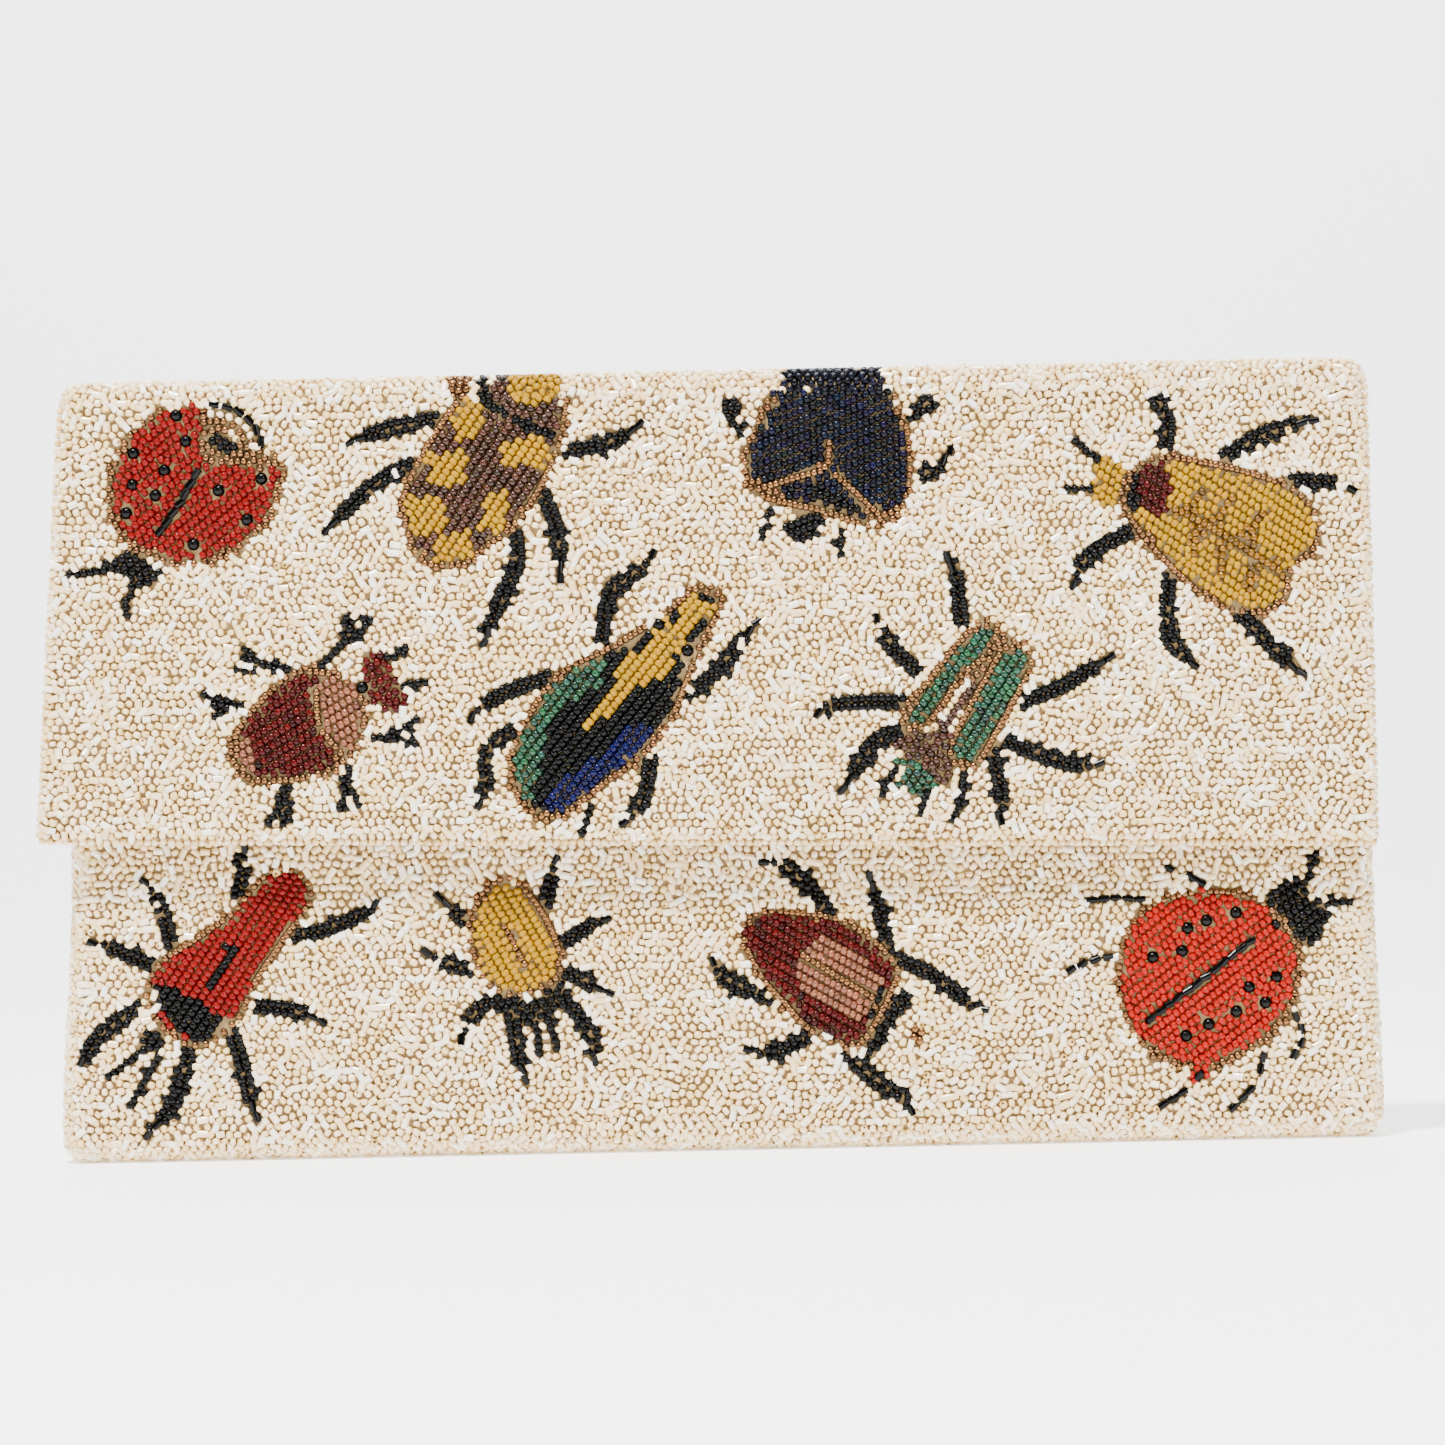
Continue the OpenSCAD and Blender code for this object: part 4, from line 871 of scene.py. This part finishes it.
deep = FLAP_Y + WALL * 0.66
corner_l, corner_r = (FLAP_LEFT[0] + 0.9, FLAP_LEFT[1] + 0.5), (HALF_W - 0.9, FLAP_RIGHT[1] + 0.5)
edge_row("flap_edge_row", [(-W + 0.9, deep, FOLD_BAND), (corner_l[0], deep, corner_l[1]),
                           (corner_r[0], deep, corner_r[1]), (W - 0.9, deep, FOLD_BAND)],
         [(-1, 0, 0), (-0.6, 0, -0.8), (0.6, 0, -0.8), (1, 0, 0)], rider("flap"))
low = np.linspace(0, 1, 60)
edge_row("flap_hem_row", [(corner_l[0] + (corner_r[0] - corner_l[0]) * t, deep - 0.7,
                           corner_l[1] + (corner_r[1] - corner_l[1]) * t) for t in low],
         [(0, -0.35, -1)] * 60, rider("flap"), replaces=["flap_edge_beads"])

# The fold over the top, in two halves; the hinge lines below, one for each half and a lower one for its
# front lining, aren't used, and the pieces stay where they are made
BEND_FRONT = dict(a="fold", b="flap", start=(0, -10.2 * MM, TOP_Z * MM),
                  end=(0, FLAP_Y * MM, (TOP_Z - 8) * MM))
BEND_BACK = dict(a="pouch", b="fold", start=(0, BACK_Y * MM, (TOP_Z - 8) * MM),
                 end=(0, (BACK_Y - 8) * MM, TOP_Z * MM))
INNER_FRONT = dict(a="fold", b="flap", start=(0, -13.0 * MM, 178.2 * MM), end=(0, -14.2 * MM, 171.5 * MM))


def bender():
    return lambda piece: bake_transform(piece)


fold_p = packed((-FOLD_SPAN, FOLD_SPAN, 0, FOLD_LONG),
                within(-FOLD_SPAN + 1, FOLD_SPAN - 1, 0, FOLD_LONG, 0.4))
half = FOLD_LONG / 2
coloured = FOLD_RISE + FOLD_ARC + 1.0       # how far round the front fold the beetles' colours run
for label, bend, pick, nodes in (
        ("front", BEND_FRONT, fold_p[:, 1] < half, ["front_roll", "strip_field"]),
        ("back", BEND_BACK, fold_p[:, 1] >= half, ["back_roll"])):
    u, v = fold_p[pick].T
    seeds, tubes = Beads(), Beads()
    for part, hues in ((v < coloured, fold_colours), (v >= coloured, [])):
        if not part.any():
            continue
        owner, p, axis, nrm = strew(u[part], v[part], fold_face, None, seeds, tubes, 1.35, hues)
        for colour in sorted({hues[k][2] for k in owner[owner >= 0]}):
            mine = np.array([k >= 0 and hues[k][2] == colour for k in owner])
            top, side, spread, material = GLASS[colour]
            tops = shade(top, spread, int(mine.sum()))
            beads = Beads()
            # Painted shade: the sides take each bead's top colour scaled down to the darker side colour
            beads.add(p[mine] - nrm[mine] * 0.9, axis[mine], nrm[mine], 1.5, 2.05, tops,
                      tops * (np.array(side) / np.array(top)))
            beads.build("fold_" + colour + "_sewn", SEED, material, bender(), slot=colour + "_beads")
    seeds.build("fold_%s_seeds" % label, SEED, CREAM_SEED, bender(), nodes, "cream_beads")
    tubes.build("fold_%s_tubes" % label, TUBE, CREAM_TUBE, bender(), slot="cream_beads")


# ---------------------------------------------------------------- cloth, lining and bindings
def mesh_piece(name, verts, faces, material, place, replaces=(), finish=None):
    """A smooth piece; finish works on its mesh before it is placed."""
    me = bpy.data.meshes.new(name)
    me.from_pydata(verts, [], faces)
    me.polygons.foreach_set("use_smooth", [True] * len(faces))
    me.materials.append(material)
    if finish:
        bm = bmesh.new()
        bm.from_mesh(me)
        finish(bm)
        bm.to_mesh(me)
        bm.free()
    ob = in_scene(name, me)
    place(ob)
    if replaces:
        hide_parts(*replaces)
    return ob


def spread_over(a, b, pitch):
    return np.linspace(a, b, max(2, int(round((b - a) / pitch)) + 1))


DEPTH = 1.25        # how far the ground cloth lies below the tops of the beads
ALONG = spread_over(-W + 1, W - 1, 3)
ACROSS = spread_over(FRONT_Y + 1, BACK_Y - 1, 2)


def flap_ground(u, v):
    """The flap's face with the left edge slanting outwards as it falls."""
    left = flap_left_x(v) + 0.9
    share = (u + W) / (2 * W)
    x = left + (HALF_W - 0.9 - left) * share
    fall = np.clip((FOLD_BAND - v) / (FOLD_BAND - FLAP_RIGHT[1]), 0, 1)
    return flap_face(x, v + (flap_bottom_z(x) + 0.9 - FLAP_RIGHT[1]) * fall)


def add_sheet(name, face, us, vs, cloth, place, outward, replaces=(),
              depth=0.0, thick=0.0):
    """A sheet on a face, sunk below it by depth; thick gives it a second side."""
    uu, vv = np.meshgrid(us, vs)
    p, _, nrm = framed(face, uu.ravel(), vv.ravel(), outward)
    p = p - nrm * depth
    cols, lines = len(us), len(vs)
    quads = [(j * cols + i, j * cols + i + 1, (j + 1) * cols + i + 1, (j + 1) * cols + i)
             for j in range(lines - 1) for i in range(cols - 1)]

    def solidify(bm):
        bmesh.ops.solidify(bm, geom=bm.faces[:], thickness=thick * MM)
    material, slot = cloth
    ob = mesh_piece(name, [tuple(q) for q in p * MM], quads, material, place, replaces,
                    solidify if thick else None)


def ground(name, face, us, vs, outward, replaces=(), place=rider("pouch")):
    add_sheet(name, face, us, vs, (GROUND, "ground_cloth"), place, outward, replaces, DEPTH)


def satin(name, face, us, vs, outward, replaces=(), place=rider("pouch"),
          thick=0.0):
    add_sheet(name, face, us, vs, (SATIN, "satin"), place, outward, replaces, thick=thick)


ground("flap_ground_cloth", flap_ground, spread_over(-W, W, 3), spread_over(FLAP_RIGHT[1], FOLD_BAND, 3),
       (0, -1, 0), ["flap_cloth"], rider("flap"))
ground("front_ground_cloth", front_face, ALONG, spread_over(1, MOUTH_Z, 3), (0, -1, 0),
       ["front_cloth"])
ground("back_ground_cloth", back_face, ALONG, spread_over(1, FOLD_BAND + 1, 3), (0, 1, 0),
       ["back_cloth"])
for side, label, face in ((-1, "left", left_face), (1, "right", right_face)):
    ground(label + "_gusset_cloth", face, ACROSS, spread_over(1, MOUTH_Z, 3), (side, 0, 0),
           ["gusset_cloth"] if side < 0 else ())
ground("base_gusset_cloth", base_face, ALONG, ACROSS, (0, 0, -1))
fs = spread_over(-FOLD_SPAN + 3.2, FOLD_SPAN - 3.2, 3)
ground("fold_front_cloth", fold_face, fs, spread_over(0, half, 1), None, ["strip_cloth"],
       bender())
ground("fold_back_cloth", fold_face, fs, spread_over(half, FOLD_LONG, 1), None, (),
       bender())


def ripple(u, v, size):
    """The small waves of a slack cloth."""
    return size * (np.sin(u * 0.11 + v * 0.05 + 1) * 0.5 + np.sin(u * 0.06 - v * 0.13) * 0.35
                   + np.sin(u * 0.31 + v * 0.21 + 2) * 0.18)


inside = node_box("front_lining")[1][1]         # the front lining's inner face
inner_back = node_box("back_lining")[0][1]      # the back lining's inner face
lining_w, lining_low = node_box("front_lining")[1][0], node_box("base_board")[1][2] + 0.5


def hem(u, v, u0, u1, v0, v1, reach):
    """1 in the middle of a sheet, falling to 0 at its sewn edges."""
    return (smooth((u - u0) / reach) * smooth((u1 - u) / reach)
            * smooth((v - v0) / reach) * smooth((v1 - v) / reach))


def flap_lining(u, v):
    p = flap_ground(u, v)
    p[:, 1] = FLAP_IN - 0.3 + (0.3 + ripple(u, v, 0.42)) * hem(u, v, -W, W, FLAP_RIGHT[1], 400, 8)
    return p


def front_lining(u, v):
    out = (0.35 + np.abs(ripple(u, v, 0.9))) * hem(u, v, -lining_w, lining_w, lining_low, MOUTH_Z, 9)
    return np.stack([u, inside - 0.1 + out, v], -1)


def back_lining(u, v):
    out = (0.2 + np.abs(ripple(u + 40, v, 0.5))) * hem(u, v, -lining_w, lining_w, lining_low, 400, 9)
    pocket = node_box("slip_pocket")
    out *= 1 - 0.9 * hem(u, v, pocket[0][0] - 6, pocket[1][0] + 6, pocket[0][2] - 6, pocket[1][2] + 6, 4)
    return np.stack([u, inner_back + 0.1 - out, v], -1)


def side_lining(side):
    def face(u, v):
        middle = smooth((u - inside) / 4) * smooth((inner_back - u) / 4)
        return np.stack([side * (lining_w - 0.5 - middle * (1.2 + ripple(v, u, 0.5))), u, v], -1)
    return face


def floor_lining(u, v):
    return np.stack([u, v, lining_low + 0.1 + 0.2 * np.abs(ripple(u, v, 1.0))], -1)


satin("flap_satin", flap_lining, spread_over(-W, W, 3), spread_over(FLAP_RIGHT[1], FOLD_BAND - 1, 3),
      (0, 1, 0), ["flap_lining"], rider("flap"))
lx = spread_over(-lining_w + 0.2, lining_w - 0.2, 3)
satin("front_satin", front_lining, lx, spread_over(lining_low, MOUTH_Z - 1, 3), (0, 1, 0),
      ["front_lining"])
satin("back_satin", back_lining, lx, spread_over(lining_low, FOLD_BAND, 3), (0, -1, 0),
      ["back_lining"])
ly = spread_over(inside - 0.1, inner_back + 0.1, 1.2)
for side, label in ((-1, "left"), (1, "right")):
    satin(label + "_gusset_satin", side_lining(side), ly, spread_over(lining_low, MOUTH_Z - 1, 3),
          (-side, 0, 0), ["gusset_lining"] if side < 0 else ())
satin("base_satin", floor_lining, lx, ly, (0, 0, 1), ())


def turn_strip(path):
    """A strip of cloth that follows a path across the inside of a fold, and the path's length."""
    route = Route(path)

    def face(u, v):
        return np.concatenate([u[:, None], route.at(v)], -1)
    return face, route.length


def bend_path(y0, y1, z0, z1, r, steps=8):
    """From (y0, z0) straight up, round a corner of radius r, then across to (y1, z1)."""
    way = 1 if y1 > y0 else -1
    arc = [(y0 + way * r * (1 - math.cos(a)), z1 - r + r * math.sin(a))
           for a in np.linspace(0, math.pi / 2, steps)]
    return [(y0, z0)] + arc + [(y1, z1)]


strip_lo = node_box("strip_lining")[0]
joint_y = (strip_lo[1] + node_box("strip_lining")[1][1]) / 2
for label, y0, bend, nodes, outward in (
        ("front", FLAP_IN - 0.1, INNER_FRONT, ["strip_lining"], (0, 1, -1)),
        ("back", inner_back - 0.1, BEND_BACK, (), (0, -1, -1))):
    face, far = turn_strip(bend_path(y0, joint_y, FOLD_BAND - 6, strip_lo[2] - 0.15, 2.2))
    satin("fold_%s_satin" % label, face, spread_over(-W + 2.6, W - 2.6, 4), spread_over(0, far, 0.8),
          outward, nodes, bender())


def tape(name, profile, path, replaces, rib):
    """A ribbed band of this cross-section swept along a path of (point, across, up) frames."""
    k = len(profile)
    verts = []
    for i, (at, across, up) in enumerate(path):
        puff = 1 + (rib if i % 2 else -rib)
        for a, b in profile:
            verts.append(tuple((np.array(at) + np.array(across) * a * puff + np.array(up) * b * puff) * MM))
    faces = [(i * k + j, (i + 1) * k + j, (i + 1) * k + (j + 1) % k, i * k + (j + 1) % k)
             for i in range(len(path) - 1) for j in range(k)]
    faces += [tuple(range(k)), tuple((len(path) - 1) * k + j for j in reversed(range(k)))]
    ob = mesh_piece(name, verts, faces, TAPE, rider("pouch"), replaces,
                    lambda bm: bmesh.ops.recalc_face_normals(bm, faces=bm.faces[:]))


def corner_path(points, pitch, radius):
    """Points along a bent line with rounded corners, with the direction across it."""
    pts = [np.array(q, float) for q in points]
    line = [pts[0]]
    for a, b, c in zip(pts, pts[1:], pts[2:]):
        u, v = unit(b - a), unit(c - b)
        for t in np.linspace(0, 1, 7):
            line.append((1 - t) ** 2 * (b - u * radius) + 2 * t * (1 - t) * b + t * t * (b + v * radius))
    route = Route(line + [pts[-1]])
    at = route.at(np.linspace(0, route.length, int(route.length / pitch)))
    return at, unit(np.gradient(at, axis=0))


# Tape over the mouth's edge, round the front and both gussets
mid_y = (FRONT_Y + inside) / 2 + 0.35
side_x, side_end, pitch = W - 1.9, 7.2, 0.7
at, d = corner_path([(-side_x, side_end, MOUTH_Z), (-side_x, mid_y, MOUTH_Z), (side_x, mid_y, MOUTH_Z),
                     (side_x, side_end, MOUTH_Z)], pitch, 2.5)
up = np.array([0, 0, 1.0])
wide, tall = 1.45, 5.6


def folded_over(wide, tall, thick, bow=0.42):
    """The cross-section of a tape folded over an edge."""
    outer = [(wide + 0.1, -tall), (wide, -1.2), (wide * 0.92, -0.3), (wide * 0.6, bow * 0.6), (0, bow),
             (-wide * 0.6, bow * 0.6), (-wide * 0.92, -0.3), (-wide, -1.2), (-wide - 0.1, -tall)]
    inner = [(a * (wide - thick) / wide, b - thick if b > -tall else b) for a, b in outer]
    return outer + inner[::-1]


tape("mouth_tape", folded_over(wide, tall, 0.42), [(a, c, up) for a, c in zip(at, np.cross(d, up))],
     ["mouth_binding"], 0.012)

# Slip pocket: a slack patch with a bound top edge
pk_lo, pk_hi = node_box("slip_pocket")


def pocket_face(u, v):
    slack = hem(u, v, pk_lo[0], pk_hi[0], pk_lo[2], pk_hi[2] + 30, 12)
    out = 0.5 + slack * (0.8 + np.abs(ripple(u + 9, v, 0.9)))
    return np.stack([u, pk_hi[1] - out, v], -1)


satin("pocket_patch", pocket_face, spread_over(pk_lo[0], pk_hi[0], 2),
      spread_over(pk_lo[2], pk_hi[2], 2), (0, -1, 0), ["slip_pocket"], thick=0.4)
edge = [(x, pocket_face(np.array([x]), np.array([pk_hi[2]]))[0, 1] - 0.05, pk_hi[2] - 1.6)
        for x in np.linspace(pk_lo[0], pk_hi[0], 180)]
tape("pocket_tape", folded_over(0.75, 5.2, 0.3, 0.3),
     [((x, y - 0.1, z + 1.6), (0, 1, 0), (0, 0, 1)) for x, y, z in edge],
     ["pocket_binding"], 0.02)


def stitches(name, points, normals, place, length=1.9, gap=1.0, thick=0.34):
    """A running stitch along a line."""
    route = Route(points)
    s = np.arange(length, route.length - length, length + gap)
    at, ahead = route.at(s), route.at(s + 0.3)
    n = np.broadcast_to(np.array(normals, float), at.shape)
    beads = Beads()
    tone = np.array([(0.52, 0.42, 0.30)] * len(at)) * (1 + rng.normal(0, 0.05, (len(at), 1)))
    # Painted shade: each stitch is 0.7 as bright at its sides as at its top
    beads.add(at, unit(ahead - at), n, length, thick, tone, tone * 0.7)
    beads.build(name, STITCH, THREAD, place, slot="satin")


STITCH = ring_bead([(-0.5, 0.05), (-0.42, 0.7), (-0.2, 1.0), (0.2, 1.0), (0.42, 0.7), (0.5, 0.05)], 6)
THREAD = bead_glass("sewing_thread", rough=0.6, grain=0.08)
inset = 2.2
pocket_line = [(pk_lo[0] + inset, pk_hi[2] - 4), (pk_lo[0] + inset, pk_lo[2] + inset),
               (pk_hi[0] - inset, pk_lo[2] + inset), (pk_hi[0] - inset, pk_hi[2] - 4)]
dense = []
for (a, b), (c, e) in zip(pocket_line, pocket_line[1:]):
    dense += [(a + (c - a) * t, b + (e - b) * t) for t in np.linspace(0, 1, 40)]
line = pocket_face(*np.array(dense).T)
line[:, 1] -= 0.42
stitches("pocket_stitches", line, (0, -1, 0), rider("pouch"))
seam_x, seam_z = W - 3.0, FLAP_RIGHT[1] + 3.0
rise = FOLD_BAND - FLAP_RIGHT[1] - 5
flap_line = [(-seam_x, FOLD_BAND - 2 - t * rise) for t in np.linspace(0, 1, 60)]
flap_line += [(-seam_x + t * 2 * seam_x, seam_z) for t in np.linspace(0, 1, 140)]
flap_line += [(seam_x, seam_z + t * rise) for t in np.linspace(0, 1, 60)]
line = flap_lining(*np.array(flap_line).T)
line[:, 1] += 0.10
stitches("flap_stitches", line, (0, 1, 0), rider("flap"), 2.2, 1.3)
line = [(x, mid_y + (wide + 0.28), MOUTH_Z - 4.6) for x in np.linspace(-W + 6, W - 6, 90)]
stitches("mouth_stitches", line, (0, 1, 0), rider("pouch"))

# ---------------------------------------------------------------- parts shown as the CAD makes them
for nodes, material in ((("front_board", "back_board", "base_board", "flap_board", "strip_felt"), FELT),
                        (("snap_socket", "snap_socket_washer", "snap_stud", "snap_stud_washer"), NICKEL),
                        (("snap_magnet",), FERRITE)):
    for node in nodes:
        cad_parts[node].data.materials.clear()
        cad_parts[node].data.materials.append(material)


# ---------------------------------------------------------------- floor, light and camera
def cyclorama(near=-9.0, far=0.9, bend=0.5, half=8.0, height=5.0):
    """A pale floor that turns up into a pale wall behind the bag, in metres."""
    profile = [(near, 0.0), (far, 0.0)]
    profile += [(far + bend * math.sin(a), bend - bend * math.cos(a))
                for a in np.linspace(0, math.pi / 2, 13)[1:]]
    profile.append((far + bend, height))
    verts = [(x, y, z) for y, z in profile for x in (-half, half)]
    faces = [(2 * i, 2 * i + 1, 2 * i + 3, 2 * i + 2) for i in range(len(profile) - 1)]
    paper = principled("studio_paper", Base_Color=(0.88, 0.88, 0.88, 1), Roughness=0.9,
                       Emission_Color=(1, 1, 1, 1), Emission_Strength=1.1)[0]
    mesh_piece("studio_floor", verts, faces, paper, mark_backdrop)


def soft_light(name, place, size, power):
    data = bpy.data.lights.new(name, "AREA")
    data.shape = "RECTANGLE"
    data.size, data.size_y = size
    data.energy = power
    ob = in_scene(name, data)
    ob.location = place
    ob.rotation_euler = (Vector(MIDDLE) - Vector(place)).to_track_quat("-Z", "Y").to_euler()


cyclorama()
MIDDLE = (0, 0, TOP_Z * MM / 2)
soft_light("key", (-0.34, -0.76, 1.76), (0.24, 0.24), 112)
soft_light("top", (0.25, -0.25, 1.5), (0.6, 0.4), 16)
soft_light("fill", (0.8, -1.4, 0.8), (0.24, 0.24), 10)
soft_light("left", (-1.2, -0.5, 0.6), (0.5, 0.6), 4)
soft_light("back", (0.2, 1.0, 1.3), (1.0, 0.6), 12)
world = bpy.data.worlds.new("studio")
world.use_nodes = True
set_sockets(world.node_tree.nodes["Background"], {"Color": (1, 1, 1, 1), "Strength": 0.15})
bpy.context.scene.world = world

# The picture is 334 mm wide at the bag's front, and the bag leans 1.2 degrees up to the right
DISTANCE = 900 * MM
VIEW_WIDTH = 334.4 * MM
SENSOR = 36                         # the camera's sensor, mm
TILT, ROLL = math.radians(1.5), math.radians(-1.2)      # looking very slightly up
AIM_X, AIM_Z = 0.8 * MM, 99.6 * MM
camera = in_scene("camera", bpy.data.cameras.new("camera"))
camera.data.sensor_width = SENSOR
camera.data.lens = SENSOR * DISTANCE / VIEW_WIDTH
camera.location = (AIM_X, FLAP_Y * MM - DISTANCE * math.cos(TILT), AIM_Z - DISTANCE * math.sin(TILT))
turn = Matrix.Rotation(math.pi / 2 + TILT, 3, "X") @ Matrix.Rotation(ROLL, 3, "Z")
camera.rotation_euler = turn.to_euler()
bpy.context.scene.camera = camera
